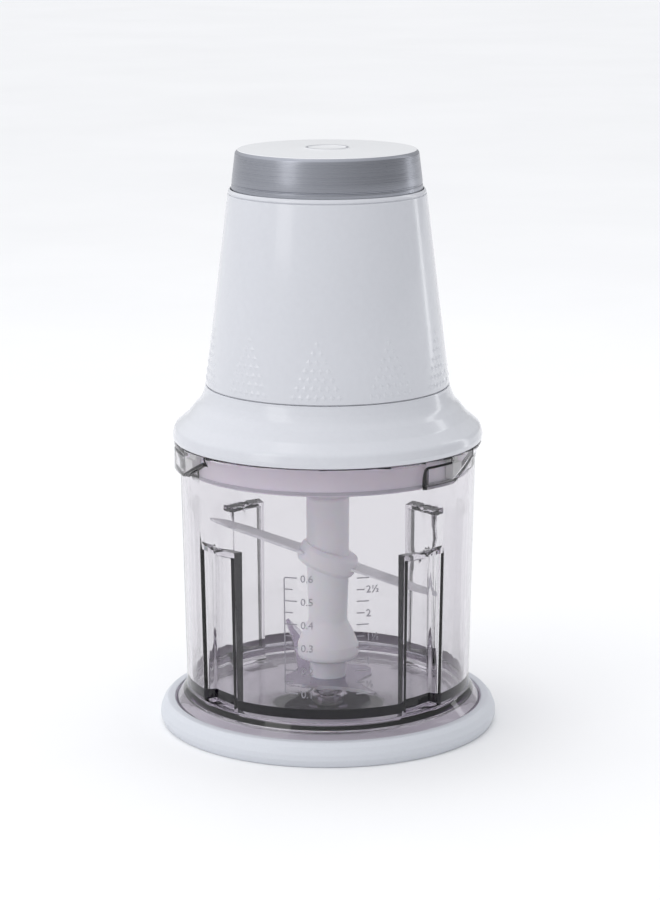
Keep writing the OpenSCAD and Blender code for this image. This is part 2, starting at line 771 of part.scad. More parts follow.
module interlock_pin() {
    color("silver") rotate([0, 0, sense_at]) translate([sense_ring, 0, 0]) {
        translate([0, 0, sense_low + sense_pin_r])
            cylinder(r = sense_pin_r, h = sense_top - sense_low - sense_pin_r, $fn = 48);
        translate([0, 0, sense_low + sense_pin_r]) sphere(r = sense_pin_r, $fn = 48);
        translate([0, 0, plate_top + guide_h + 0.3]) cylinder(r = 2.7, h = 0.9, $fn = 48);
    }
}

module interlock_spring() {
    color("silver") rotate([0, 0, sense_at]) translate([sense_ring, 0, 0])
        coil(2.2, 0.3, 4, plate_top + guide_h + 1.2, sense_switch_z);
}

module interlock_switch() {
    color("black") rotate([0, 0, sense_at]) {
        translate([sense_ring - 10, -3, sense_switch_z]) cube([13, 6, 8]);
        translate([sense_ring - 10, -3, box_top - 4]) cube([5.5, 6, sense_switch_z - box_top + 4 + eps]);
        translate([box_r, -3, box_top - 4]) cube([sense_ring - 10 - box_r + eps, 6, 3]);
    }
}

// ---- motor ----

// Two wide windows between the field poles hold the coils, and narrow mouths open them to the bore
module stator_core() {
    color("dimgray") translate([0, 0, core_z]) difference() {
        intersection() {
            cylinder(r = stator_r, h = core_h);
            translate([-stator_r, 2.5 - stator_r, 0]) cube([2 * stator_r, 2 * stator_r - 5, core_h]);
        }
        translate([0, 0, -1]) cylinder(r = armature_r + air_gap, h = core_h + 2);
        for (s = [0, 180]) rotate([0, 0, s]) translate([0, 0, -1]) {
            sector(armature_r + 3, stator_r - 5, -50, 100, core_h + 2);
            translate([armature_r - 1, -3, 0]) cube([5, 6, core_h + 2]);
        }
        for (a = [45:90:315]) rotate([0, 0, a]) translate([bolt_ring, 0, -1])
            cylinder(r = bolt_r + 0.1, h = core_h + 2, $fn = 32);
    }
}

// Each coil is a block round its pole, cut away where the pole passes through
module field_coils() {
    over = 3.2;
    pole_half = 40.5;
    color("peru") for (a = [90, 270]) difference() {
        translate([0, 0, core_z - over]) sector(armature_r + 4, coil_r, a - 48, 96, core_h + 2 * over);
        translate([0, 0, core_z - 0.2])
            sector(armature_r, stator_r, a - pole_half, 2 * pole_half, core_h + 0.4);
    }
}

module armature_core() {
    color("gray") translate([0, 0, core_z]) linear_extrude(core_h) difference() {
        circle(r = armature_r);
        circle(r = shaft_r);
        for (i = [0:slot_count - 1]) rotate(i * 360 / slot_count) {
            translate([armature_r - 4.4, 0]) circle(r = 1.9, $fn = 32);
            translate([armature_r - 4, -0.8]) square([6, 1.6]);
        }
    }
}

module armature_windings() {
    color("peru") {
        for (i = [0:slot_count - 1]) rotate([0, 0, i * 360 / slot_count])
            translate([armature_r - 4.4, 0, core_z - 2]) cylinder(r = 1.8, h = core_h + 4, $fn = 32);
        for (z = [core_z - 3.6, core_top + 0.2]) translate([0, 0, z])
            ring(armature_r - 2.4, shaft_r + 1.6, 3.4);
    }
}

module armature_shaft() {
    color("silver") translate([0, 0, shaft_low]) cylinder(r = shaft_r, h = shaft_top - shaft_low - 0.5);
}

module commutator() {
    color("chocolate") translate([0, 0, comm_z]) linear_extrude(comm_h) difference() {
        circle(r = comm_r);
        circle(r = shaft_r);
        for (i = [0:2 * slot_count - 1]) rotate(i * 180 / slot_count)
            translate([comm_r - 1.2, -0.2]) square([3, 0.4]);
    }
}

module cooling_fan() {
    blades = 9;
    color("black") {
        translate([0, 0, fan_z]) ring(6, shaft_r, fan_h);
        translate([0, 0, fan_z]) ring(fan_r, 5.5, 1.2);
        around(blades) translate([5.5, -0.6, fan_z + 1.2 - eps]) cube([fan_r - 6, 1.2, fan_h - 1.2]);
    }
}

module lower_bush() {
    color("goldenrod") translate([0, 0, box_top]) ring(low_bush_r, shaft_r + run_gap, low_bush_h);
}

module upper_bush() {
    color("goldenrod") translate([0, 0, up_bracket_z]) ring(low_bush_r, shaft_r + run_gap, up_bush_h);
}

module bracket(z) {
    translate([0, 0, z]) linear_extrude(bracket_t) difference() {
        circle(r = bracket_r);
        circle(r = low_bush_r);
        for (i = [0:3]) rotate(i * 90) translate([12.5, 0]) square([9, 12], center = true);
        for (a = [45:90:315]) rotate(a) translate([bolt_ring, 0]) circle(r = bolt_r, $fn = 32);
    }
}

module lower_bracket() {
    color("silver") {
        translate([0, 0, box_top]) linear_extrude(bracket_t) difference() {
            circle(r = box_r);
            circle(r = low_bush_r);
            for (a = [45:90:315]) rotate(a) translate([bolt_ring, 0]) circle(r = bolt_r, $fn = 32);
        }
        for (a = [45:90:315]) rotate([0, 0, a]) translate([bolt_ring, 0, box_top + bracket_t - eps])
            ring(bolt_r + post_wall, bolt_r, core_z - box_top - bracket_t + eps);
    }
}

module upper_bracket() {
    color("silver") {
        bracket(up_bracket_z);
        for (a = [45:90:315]) rotate([0, 0, a]) translate([bolt_ring, 0, core_top])
            ring(bolt_r + post_wall, bolt_r, up_bracket_z - core_top + eps);
    }
}

module motor_bolts() {
    color("silver") for (a = [45:90:315]) rotate([0, 0, a]) translate([bolt_ring, 0, 0]) {
        translate([0, 0, box_top]) cylinder(r = bolt_r, h = up_bracket_z + bracket_t - box_top, $fn = 32);
        translate([0, 0, up_bracket_z + bracket_t]) cylinder(r = 2.8, h = 1.8, $fn = 6);
    }
}

// A holder is a square tube under the upper bracket, at each side of the commutator
module brush_holders() {
    w = brush_w + 2 * holder_t + 0.2;
    h = brush_h + 2 * holder_t + 0.2;
    color("goldenrod") for (s = [0, 180]) rotate([0, 0, s]) difference() {
        union() {
            translate([holder_in, -w / 2, brush_z - h / 2]) cube([holder_len, w, h]);
            translate([holder_in + 9.5, -2, brush_z]) cube([3, 4, up_bracket_z - brush_z]);
        }
        translate([holder_in - 1, -brush_w / 2 - 0.1, brush_z - brush_h / 2 - 0.1])
            cube([holder_len, brush_w + 0.2, brush_h + 0.2]);
    }
}

module carbon_brushes() {
    color("black") for (s = [0, 180]) rotate([0, 0, s]) difference() {
        translate([comm_r - 0.6, -brush_w / 2, brush_z - brush_h / 2]) cube([brush_len, brush_w, brush_h]);
        translate([0, 0, brush_z - brush_h]) cylinder(r = brush_in, h = 2 * brush_h);
    }
}

module brush_springs() {
    low = comm_r - 0.6 + brush_len;
    high = holder_in - 1 + holder_len;
    color("silver") for (s = [0, 180]) rotate([0, 0, s]) translate([0, 0, brush_z])
        rotate([0, 90, 0]) coil(1.4, 0.25, 4, low, high);
}

module rubber_ring() {
    color("black") translate([0, 0, up_bracket_z]) ring(bracket_r + ring_rubber, bracket_r, bracket_t);
}

module capacitor() {
    color("gold") translate([-10, -shell_r(core_z + 12) + 6.5, core_z + 2]) cube([20, 4.5, 16]);
}

// ---- gearbox ----

module sun_pinion() {
    color("silver") translate([0, 0, gear_z]) linear_extrude(gear_h) difference() {
        polygon(wheel(sun_teeth, pitch(sun_teeth) + addendum, pitch(sun_teeth) - dedendum, backlash));
        circle(r = shaft_r);
    }
}

// Planet n stands at its own angle, with a gap facing both the sun and the ring
module planet(n) {
    color("ivory") rotate([0, 0, n * 360 / planet_count]) translate([centre_r, 0, gear_z])
        linear_extrude(gear_h) difference() {
            rotate(180 / planet_teeth) polygon(wheel(planet_teeth, pitch(planet_teeth) + addendum,
                pitch(planet_teeth) - dedendum, backlash));
            circle(r = planet_pin_r + run_gap);
        }
}

module planet_gear_1() { planet(0); }
module planet_gear_2() { planet(1); }
module planet_gear_3() { planet(2); }

module ring_gear() {
    color("ivory") translate([0, 0, gear_z]) linear_extrude(gear_h) difference() {
        circle(r = ring_out);
        rotate(180 / ring_teeth)
            polygon(wheel(ring_teeth, ring_root, pitch(ring_teeth) - addendum, -backlash));
    }
}

module planet_carrier() {
    color("silver") translate([0, 0, carrier_z]) linear_extrude(carrier_t) difference() {
        circle(r = carrier_r);
        circle(r = out_r);
        for (i = [0:planet_count - 1]) rotate(i * 360 / planet_count) translate([centre_r, 0])
            circle(r = planet_pin_r);
    }
}

module planet_pins() {
    color("silver") around(planet_count) translate([centre_r, 0, carrier_z])
        cylinder(r = planet_pin_r, h = carrier_t + 0.4 + gear_h);
}

module output_shaft() {
    low = socket_z + jaw_h + 2;
    color("silver") translate([0, 0, low]) cylinder(r = out_r, h = carrier_z + carrier_t - low);
}

module drive_dog() {
    low = socket_z + 0.8;
    color("white") difference() {
        union() {
            translate([0, 0, low]) cylinder(r = dog_core_r, h = dog_h);
            for (a = [0, 180]) translate([0, 0, low])
                sector(0.5, dog_r, a - dog_angle / 2, dog_angle, dog_h);
            translate([0, 0, low + dog_h - eps]) cylinder(r = dog_r, h = head_z - 0.3 - low - dog_h);
        }
        translate([0, 0, socket_z + jaw_h + 2]) cylinder(r = out_r, h = 20);
    }
}

module output_bush() {
    color("goldenrod") translate([0, 0, head_z]) ring(out_bush_r, out_r + run_gap, plate_t + box_floor);
}

module gearbox_housing() {
    color("gainsboro") translate([0, 0, plate_top]) difference() {
        cylinder(r = box_r, h = box_top - plate_top);
        translate([0, 0, box_floor]) cylinder(r = ring_out, h = 40);
        translate([0, 0, -eps]) cylinder(r = out_bush_r, h = 10);
        around(3, 30) translate([ring_out + 0.4, 0, -eps]) cylinder(r = 1.1, h = 6, $fn = 32);
    }
}

module gearbox_screws() {
    color("silver") around(3, 30) translate([ring_out + 0.4, 0, head_z])
        cylinder(r = 1.1, h = plate_t + 5.4, $fn = 32);
}

non_slip_base();
bowl();
bowl_pin();
blade_hub();
hub_bushes();
upper_blade();
lower_blade();
lid();
lid_seal();
skirt_cover();
lock_ring();
motor_housing();
top_cap();
cap_insert();
cap_springs();
switch_plate();
run_switch();
switch_lever();
interlock_pin();
interlock_spring();
interlock_switch();
stator_core();
field_coils();
armature_core();
armature_windings();
armature_shaft();
commutator();
cooling_fan();
upper_bush();
lower_bush();
upper_bracket();
lower_bracket();
motor_bolts();
brush_holders();
carbon_brushes();
brush_springs();
rubber_ring();
sun_pinion();
planet_gear_1();
planet_gear_2();
planet_gear_3();
ring_gear();
planet_carrier();
planet_pins();
output_shaft();
output_bush();
drive_dog();
gearbox_housing();
gearbox_screws();
housing_screws();
cord_gland();
gland_nut();
capacitor();
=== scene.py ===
import json
from math import atan, cos, pi, radians, sin, sqrt, tan

import bmesh
import bpy
from mathutils import Matrix, Vector


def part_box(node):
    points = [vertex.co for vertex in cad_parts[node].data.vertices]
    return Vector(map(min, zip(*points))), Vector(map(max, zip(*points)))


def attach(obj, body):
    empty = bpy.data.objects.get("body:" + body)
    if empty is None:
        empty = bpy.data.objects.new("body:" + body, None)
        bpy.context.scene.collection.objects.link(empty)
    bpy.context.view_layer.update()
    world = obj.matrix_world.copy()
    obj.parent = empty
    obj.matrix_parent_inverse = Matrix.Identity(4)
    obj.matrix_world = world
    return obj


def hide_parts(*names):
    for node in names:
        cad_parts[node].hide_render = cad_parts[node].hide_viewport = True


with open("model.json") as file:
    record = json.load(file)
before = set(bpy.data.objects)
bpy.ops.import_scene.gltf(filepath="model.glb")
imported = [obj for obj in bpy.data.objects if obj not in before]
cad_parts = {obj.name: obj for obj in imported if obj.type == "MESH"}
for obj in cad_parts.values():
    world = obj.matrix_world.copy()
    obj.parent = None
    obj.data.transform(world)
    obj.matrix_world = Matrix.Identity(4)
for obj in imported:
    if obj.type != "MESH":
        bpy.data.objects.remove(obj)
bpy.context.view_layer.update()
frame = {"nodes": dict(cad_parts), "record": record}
nodes = frame["nodes"]
slotOf = {s["node"]: s["material_slot"] for s in frame["record"]["subparts"]}
print("frame loaded:", len(nodes), "nodes")

mm = 0.001
scene = bpy.context.scene

# Heights and radii that the pieces share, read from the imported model
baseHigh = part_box("non_slip_base")[1]
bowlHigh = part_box("bowl")[1]
skirtLow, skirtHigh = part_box("skirt_cover")
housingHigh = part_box("motor_housing")[1]
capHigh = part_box("top_cap")[1]
hubLow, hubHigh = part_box("blade_hub")

key = {
    "baseR": baseHigh.x / mm,
    "baseTop": baseHigh.z / mm,
    "rimZ": bowlHigh.z / mm,
    "headZ": skirtLow.z / mm,
    "seamZ": skirtHigh.z / mm,
    "lipZ": housingHigh.z / mm,
    "capTop": capHigh.z / mm,
    "hubLow": hubLow.z / mm,
    "hubTop": hubHigh.z / mm,
}
print("key sizes in mm:", {k: round(v, 2) for k, v in key.items()})


view = {"x": 1.42, "y": -1130.0, "z": 363.3, "tilt": 77.63, "roll": 0.10, "lens": 110.88, "sensor": 36,
        "clip": (0.05, 30)}


def makeCamera():
    data = bpy.data.cameras.new("viewCamera")
    data.lens = view["lens"]
    data.sensor_width = view["sensor"]
    data.clip_start, data.clip_end = view["clip"]
    camera = bpy.data.objects.new("viewCamera", data)
    camera.location = (view["x"] * mm, view["y"] * mm, view["z"] * mm)
    camera.rotation_euler = (radians(view["tilt"]), radians(view["roll"]), 0)
    scene.collection.objects.link(camera)
    scene.camera = camera


light = {
    "tint": (0.97, 0.98, 1.0, 1),
    "horizon": 0.64, "zenith": 1.40, "left": 1.24, "right": 0.58,
    "lamps": [
        # name, place, aim, width, height, power, colour
        ("keyLamp", (-1.0, -0.9, 0.85), (0, 0, 0.14), 0.5, 1.1, 2.4, (1, 0.99, 0.98)),
        ("topLamp", (-0.1, 0.3, 1.3), (0, 0, 0.15), 0.9, 0.7, 2.2, (1, 1, 1)),
        ("rimLamp", (0.95, 0.55, 0.45), (0, 0, 0.14), 0.12, 1.0, 0.8, (0.98, 0.99, 1)),
    ],
}


def makeLight():
    # A soft dome, brighter overhead and to the left
    world = bpy.data.worlds.new("softDome")
    world.use_nodes = True
    tree = world.node_tree
    link = tree.links.new
    glow = tree.nodes["Background"]
    glow.inputs["Color"].default_value = light["tint"]
    ray = addNode(tree, "ShaderNodeTexCoord")
    split = addNode(tree, "ShaderNodeSeparateXYZ")
    link(ray.outputs["Generated"], split.inputs[0])
    up = addNode(tree, "ShaderNodeMapRange", {"To Min": light["horizon"], "To Max": light["zenith"]})
    across = addNode(tree, "ShaderNodeMapRange", {
        "From Min": -1.0, "From Max": 1.0, "To Min": light["left"], "To Max": light["right"]})
    both = addNode(tree, "ShaderNodeMath", operation="MULTIPLY")
    link(split.outputs["Z"], up.inputs["Value"])
    link(split.outputs["X"], across.inputs["Value"])
    link(up.outputs["Result"], both.inputs[0])
    link(across.outputs["Result"], both.inputs[1])
    link(both.outputs[0], glow.inputs["Strength"])
    scene.world = world
    for name, place, aim, width, height, power, colour in light["lamps"]:
        data = bpy.data.lights.new(name, "AREA")
        data.shape = "RECTANGLE"
        data.size, data.size_y = width, height
        data.energy = power
        data.color = colour
        lamp = bpy.data.objects.new(name, data)
        lamp.location = place
        lamp.rotation_euler = (Vector(aim) - Vector(place)).to_track_quat("-Z", "Y").to_euler()
        scene.collection.objects.link(lamp)


floorHalf = 14.0


def makeFloor():
    bm = bmesh.new()
    bmesh.ops.create_grid(bm, x_segments=24, y_segments=24, size=floorHalf)
    piece = finishMesh(bm, "paleFloor")
    piece.data.materials.append(materials["palePaper"])


def newMaterial(name):
    material = bpy.data.materials.new(name)
    material.use_nodes = True
    tree = material.node_tree
    shader = tree.nodes["Principled BSDF"]
    return material, tree, shader


def addNode(tree, kind, values=None, **settings):
    node = tree.nodes.new(kind)
    for k, v in settings.items():
        setattr(node, k, v)
    for k, v in (values or {}).items():
        node.inputs[k].default_value = v
    return node


def objectPoint(tree, stretch):
    # Points of the piece itself, stretched along each axis
    place = addNode(tree, "ShaderNodeTexCoord")
    scaled = addNode(tree, "ShaderNodeMapping", {"Scale": stretch})
    tree.links.new(place.outputs["Object"], scaled.inputs["Vector"])
    return scaled.outputs["Vector"]


def turnedPoint(tree, acrossScale, upScale):
    # Radius and height of a point, for marks that run round the axis
    place = addNode(tree, "ShaderNodeTexCoord")
    split = addNode(tree, "ShaderNodeSeparateXYZ")
    flat = addNode(tree, "ShaderNodeCombineXYZ")
    length = addNode(tree, "ShaderNodeVectorMath", operation="LENGTH")
    wide = addNode(tree, "ShaderNodeMath", {1: acrossScale}, operation="MULTIPLY")
    high = addNode(tree, "ShaderNodeMath", {1: upScale}, operation="MULTIPLY")
    joined = addNode(tree, "ShaderNodeCombineXYZ")
    link = tree.links.new
    link(place.outputs["Object"], split.inputs[0])
    link(split.outputs["X"], flat.inputs["X"])
    link(split.outputs["Y"], flat.inputs["Y"])
    link(flat.outputs[0], length.inputs[0])
    link(length.outputs["Value"], wide.inputs[0])
    link(split.outputs["Z"], high.inputs[0])
    link(wide.outputs[0], joined.inputs["X"])
    link(high.outputs[0], joined.inputs["Z"])
    return joined.outputs[0]


def shade(tree, shader, point, spec):
    # Fine noise drives the colour, the roughness and the bump together
    link = tree.links.new
    grain = addNode(tree, "ShaderNodeTexNoise", {"Scale": 1.0, "Detail": 4.0, "Roughness": 0.6})
    link(point, grain.inputs["Vector"])
    ramp = addNode(tree, "ShaderNodeValToRGB")
    for end, stop, colour in zip(ramp.color_ramp.elements, (0.3, 0.7), (spec["dark"], spec["pale"])):
        end.position = stop
        end.color = (*colour, 1)
    link(grain.outputs["Fac"], ramp.inputs["Fac"])
    link(ramp.outputs["Color"], shader.inputs["Base Color"])
    rough = addNode(tree, "ShaderNodeMapRange", {"To Min": spec["rough"][0], "To Max": spec["rough"][1]})
    link(grain.outputs["Fac"], rough.inputs["Value"])
    link(rough.outputs["Result"], shader.inputs["Roughness"])
    bump = addNode(tree, "ShaderNodeBump", {"Strength": spec["bump"], "Distance": spec.get("depth", 0.0001)})
    link(grain.outputs["Fac"], bump.inputs["Height"])
    link(bump.outputs["Normal"], shader.inputs["Normal"])
    for socket, value in spec.get("set", {}).items():
        shader.inputs[socket].default_value = value


def plainFinish(name, spec):
    material, tree, shader = newMaterial(name)
    if spec.get("turned"):
        point = turnedPoint(tree, *spec["turned"])
    else:
        point = objectPoint(tree, spec["grain"])
    shade(tree, shader, point, spec)
    return material


def clearFinish(name, spec, edge=None):
    # Smoke-tinted clear plastic: the tint deepens with the length of plastic looked through
    material, tree, shader = newMaterial(name)
    link = tree.links.new
    shader.inputs["Base Color"].default_value = spec["glass"]
    shader.inputs["IOR"].default_value = spec["ior"]
    shader.inputs["Transmission Weight"].default_value = 1
    haze = addNode(tree, "ShaderNodeTexNoise", {"Scale": 1.0, "Detail": 3.0})
    link(objectPoint(tree, (260, 260, 260)), haze.inputs["Vector"])
    rough = addNode(tree, "ShaderNodeMapRange", {"To Min": spec["rough"][0], "To Max": spec["rough"][1]})
    link(haze.outputs["Fac"], rough.inputs["Value"])
    link(rough.outputs["Result"], shader.inputs["Roughness"])
    through = addNode(tree, "ShaderNodeBsdfTransparent", {"Color": spec["shadow"]})
    path = addNode(tree, "ShaderNodeLightPath")
    front = shader
    if edge:
        # An edge is painted almost black in the near wall and fades in the far one: painted shade for the
        # dark look of the plastic seen edge-on. Light that has bounced inside the plastic sees it clear
        deep = addNode(tree, "ShaderNodeBsdfPrincipled", {
            "Base Color": spec["edge"], "Roughness": 0.5, "Specular IOR Level": 0.0})
        fade = addNode(tree, "ShaderNodeMapRange", {
            "From Min": 2.2, "From Max": 3.0, "To Min": 1.0, "To Max": spec["far"]})
        bounced = addNode(tree, "ShaderNodeMath", {1: 0.5}, operation="LESS_THAN")
        share = addNode(tree, "ShaderNodeMath", operation="MULTIPLY")
        front = addNode(tree, "ShaderNodeMixShader")
        link(path.outputs["Transmission Depth"], fade.inputs["Value"])
        link(path.outputs["Glossy Depth"], bounced.inputs[0])
        link(fade.outputs["Result"], share.inputs[0])
        link(bounced.outputs[0], share.inputs[1])
        if edge == "inside":
            side = addNode(tree, "ShaderNodeNewGeometry")
            within = addNode(tree, "ShaderNodeMath", operation="MULTIPLY")
            link(share.outputs[0], within.inputs[0])
            link(side.outputs["Backfacing"], within.inputs[1])
            share = within
        link(share.outputs[0], front.inputs["Fac"])
        link(shader.outputs[0], front.inputs[1])
        link(deep.outputs[0], front.inputs[2])
    mix = addNode(tree, "ShaderNodeMixShader")
    link(path.outputs["Is Shadow Ray"], mix.inputs["Fac"])
    link(front.outputs[0], mix.inputs[1])
    link(through.outputs[0], mix.inputs[2])
    out = tree.nodes["Material Output"]
    link(mix.outputs[0], out.inputs["Surface"])
    tint = addNode(tree, "ShaderNodeVolumeAbsorption", {"Color": spec["tint"], "Density": spec["density"]})
    link(tint.outputs[0], out.inputs["Volume"])
    return material


finishes = {
    "soft_base": {"pale": (0.645, 0.665, 0.71), "dark": (0.62, 0.64, 0.685), "rough": (0.42, 0.55),
                  "bump": 0.12, "grain": (1400, 1400, 1400), "set": {"Specular IOR Level": 0.4}},
    "steel_pin": {"pale": (0.72, 0.72, 0.74), "dark": (0.6, 0.6, 0.62), "rough": (0.22, 0.34), "bump": 0.1,
                  "turned": (3000, 2600), "set": {"Metallic": 1.0}},
    "hub_plastic": {"pale": (0.93, 0.92, 0.96), "dark": (0.91, 0.90, 0.945), "rough": (0.32, 0.42),
                    "bump": 0.05, "grain": (900, 900, 900),
                    "set": {"Subsurface Weight": 0.25, "Subsurface Scale": 0.004}},
    "bronze": {"pale": (0.66, 0.46, 0.22), "dark": (0.5, 0.33, 0.16), "rough": (0.35, 0.5), "bump": 0.2,
               "grain": (4000, 4000, 4000), "set": {"Metallic": 1.0}},
    # Painted light: a brighter lilac copy of the base colour for the inside of the base mouth, which lies in
    # shade under the bowl
    "baseInsidePaintedLight": {"pale": (0.96, 0.93, 0.99), "dark": (0.94, 0.91, 0.975), "rough": (0.5, 0.6),
                   "bump": 0.12, "grain": (1400, 1400, 1400)},
    # Painted shade and painted reflection: a darker, purple copy of the blade steel for the flat faces of the
    # lower blade
    "paintedShadeSteel": {"pale": (0.40, 0.355, 0.44), "dark": (0.31, 0.275, 0.35), "rough": (0.16, 0.3),
                    "bump": 0.15, "grain": (120, 2600, 400), "set": {"Metallic": 1.0}},
    "blade_steel": {"pale": (0.80, 0.79, 0.82), "dark": (0.64, 0.63, 0.67), "rough": (0.18, 0.32),
                    "bump": 0.15, "grain": (120, 2600, 400), "set": {"Metallic": 1.0, "Anisotropic": 0.5}},
    "lid_plastic": {"pale": (0.97, 0.89, 0.99), "dark": (0.95, 0.87, 0.975), "rough": (0.35, 0.45),
                    "bump": 0.04, "grain": (800, 800, 800),
                    "set": {"Subsurface Weight": 0.15, "Subsurface Scale": 0.003}},
    "seal_rubber": {"pale": (0.60, 0.57, 0.64), "dark": (0.54, 0.51, 0.58), "rough": (0.55, 0.7),
                    "bump": 0.2, "grain": (1500, 1500, 1500)},
    "white_gloss": {"pale": (0.625, 0.635, 0.675), "dark": (0.61, 0.62, 0.66), "rough": (0.17, 0.24),
                    "bump": 0.03, "grain": (420, 420, 420),
                    "set": {"Coat Weight": 0.35, "Coat Roughness": 0.08}},
    "cap_metal": {"pale": (0.37, 0.38, 0.42), "dark": (0.28, 0.29, 0.325), "rough": (0.22, 0.34), "bump": 0.2,
                  "turned": (5200, 5200), "set": {"Metallic": 1.0, "Anisotropic": 0.4}},
    "white_plastic": {"pale": (0.82, 0.82, 0.81), "dark": (0.78, 0.78, 0.77), "rough": (0.45, 0.6),
                      "bump": 0.1, "grain": (1200, 1200, 1200)},
    "spring_steel": {"pale": (0.62, 0.62, 0.65), "dark": (0.46, 0.46, 0.49), "rough": (0.25, 0.38),
                     "bump": 0.1, "grain": (900, 900, 5000), "set": {"Metallic": 1.0}},
    "black_plastic": {"pale": (0.05, 0.05, 0.055), "dark": (0.03, 0.03, 0.035), "rough": (0.42, 0.6),
                      "bump": 0.2, "grain": (1500, 1500, 1500)},
    "plated_steel": {"pale": (0.70, 0.70, 0.69), "dark": (0.56, 0.56, 0.56), "rough": (0.25, 0.42),
                     "bump": 0.1, "grain": (2200, 2200, 2200), "set": {"Metallic": 1.0}},
    "laminations": {"pale": (0.36, 0.36, 0.38), "dark": (0.2, 0.2, 0.22), "rough": (0.4, 0.6), "bump": 0.6,
                    "turned": (10, 9000), "set": {"Metallic": 1.0}},
    "copper": {"pale": (0.75, 0.36, 0.17), "dark": (0.5, 0.2, 0.08), "rough": (0.22, 0.4), "bump": 0.7,
               "turned": (4200, 4200), "set": {"Metallic": 1.0, "Coat Weight": 0.5}},
    "brass": {"pale": (0.78, 0.60, 0.27), "dark": (0.62, 0.45, 0.18), "rough": (0.25, 0.4), "bump": 0.1,
              "grain": (1500, 1500, 1500), "set": {"Metallic": 1.0}},
    "carbon": {"pale": (0.07, 0.07, 0.07), "dark": (0.035, 0.035, 0.035), "rough": (0.5, 0.7), "bump": 0.3,
               "grain": (4000, 4000, 4000)},
    "black_rubber": {"pale": (0.045, 0.045, 0.047), "dark": (0.025, 0.025, 0.027), "rough": (0.6, 0.8),
                     "bump": 0.25, "grain": (1600, 1600, 1600)},
    "nylon": {"pale": (0.84, 0.81, 0.72), "dark": (0.78, 0.75, 0.65), "rough": (0.38, 0.5), "bump": 0.08,
              "grain": (1200, 1200, 1200), "set": {"Subsurface Weight": 0.1, "Subsurface Scale": 0.002}},
    "cast_bracket": {"pale": (0.62, 0.63, 0.65), "dark": (0.5, 0.51, 0.53), "rough": (0.45, 0.65),
                     "bump": 0.4, "grain": (2600, 2600, 2600), "set": {"Metallic": 1.0}},
    "capTop": {"pale": (0.70, 0.705, 0.72), "dark": (0.67, 0.675, 0.69), "rough": (0.3, 0.4), "bump": 0.06,
               "grain": (900, 900, 900), "set": {"Coat Weight": 0.3, "Coat Roughness": 0.15}},
    "yellow_film": {"pale": (0.78, 0.55, 0.10), "dark": (0.7, 0.47, 0.07), "rough": (0.25, 0.4),
                    "bump": 0.1, "grain": (700, 700, 700)},
    "markedPlastic": {"pale": (0.40, 0.385, 0.43), "dark": (0.33, 0.31, 0.36), "rough": (0.25, 0.4),
                      "bump": 0.1, "grain": (900, 900, 900),
                      "set": {"Transmission Weight": 0.35, "IOR": 1.47}},
    "palePaper": {"pale": (0.91, 0.91, 0.915), "dark": (0.88, 0.88, 0.885), "rough": (0.7, 0.8), "bump": 0.0,
                  "grain": (3, 3, 3)},
}
# The edge colour is painted shade: near-black painted on the rib sides and edges of the clear plastic
clearSpec = {"ior": 1.47, "rough": (0.0, 0.02), "glass": (0.875, 0.872, 0.876, 1),
             "tint": (0.80, 0.765, 0.82, 1), "density": 110.0,
             "shadow": (0.98, 0.975, 0.985, 1), "edge": (0.004, 0.002, 0.008, 1), "far": 0.12}
materials = {}


def makeFinishes():
    for name, spec in finishes.items():
        materials[name] = plainFinish(name, spec)
    materials["clear_bowl"] = clearFinish("clear_bowl", clearSpec)
    materials["clearEdgePaintedShade"] = clearFinish("clearEdgePaintedShade", clearSpec, "inside")
    materials["clearSidePaintedShade"] = clearFinish("clearSidePaintedShade", clearSpec, "both")


def rounded(points, steps=5):
    # Each point is (r, z) or (r, z, corner radius); corners become arcs
    path = []
    count = len(points)
    for i, point in enumerate(points):
        here = Vector(point[:2])
        bend = point[2] if len(point) > 2 else 0
        before, after = Vector(points[i - 1][:2]), Vector(points[(i + 1) % count][:2])
        u, v = (before - here), (after - here)
        if not bend or u.length < 1e-6 or v.length < 1e-6:
            path.append(here)
            continue
        u.normalize()
        v.normalize()
        half = u.angle(v) / 2
        reach = min(bend / tan(half), (before - here).length * 0.49, (after - here).length * 0.49)
        radius = reach * tan(half)
        centre = here + (u + v).normalized() * (radius / sin(half))
        a, b = here + u * reach - centre, here + v * reach - centre
        sweep = a.angle_signed(b)
        for k in range(steps + 1):
            path.append(centre + Matrix.Rotation(-sweep * k / steps, 2) @ a)
    return [(p.x, p.y) for p in path]


def band(bm, low, high):
    # Faces between two closed loops, without the corners that the loops share
    count = len(low)
    for k in range(count):
        n = (k + 1) % count
        corners = []
        for v in (low[k], low[n], high[n], high[k]):
            if v not in corners:
                corners.append(v)
        if len(corners) > 2:
            bm.faces.new(corners)


def capped(bm, loops):
    # A bar along a row of loops, closed at both ends
    for low, high in zip(loops, loops[1:]):
        band(bm, low, high)
    bm.faces.new(loops[0][::-1])
    bm.faces.new(loops[-1])


def lathe(bm, path, segments=192):
    # Turns a closed outline round the axis; points on the axis become one vertex
    rings = []
    for r, z in path:
        if r < 1e-6:
            rings.append([bm.verts.new((0, 0, z * mm))] * segments)
            continue
        turns = [2 * pi * k / segments for k in range(segments)]
        rings.append([bm.verts.new((r * mm * cos(a), r * mm * sin(a), z * mm)) for a in turns])
    for i in range(len(rings)):
        band(bm, rings[i - 1], rings[i])


def finishMesh(bm, name, sharp=35):
    bmesh.ops.recalc_face_normals(bm, faces=bm.faces)
    if bm.calc_volume(signed=True) < 0:
        bmesh.ops.reverse_faces(bm, faces=bm.faces)
        print("faces turned outward:", name)
    mesh = bpy.data.meshes.new(name)
    bm.to_mesh(mesh)
    bm.free()
    mesh.shade_smooth()
    mesh.set_sharp_from_angle(angle=radians(sharp))
    piece = bpy.data.objects.new(name, mesh)
    scene.collection.objects.link(piece)
    return piece


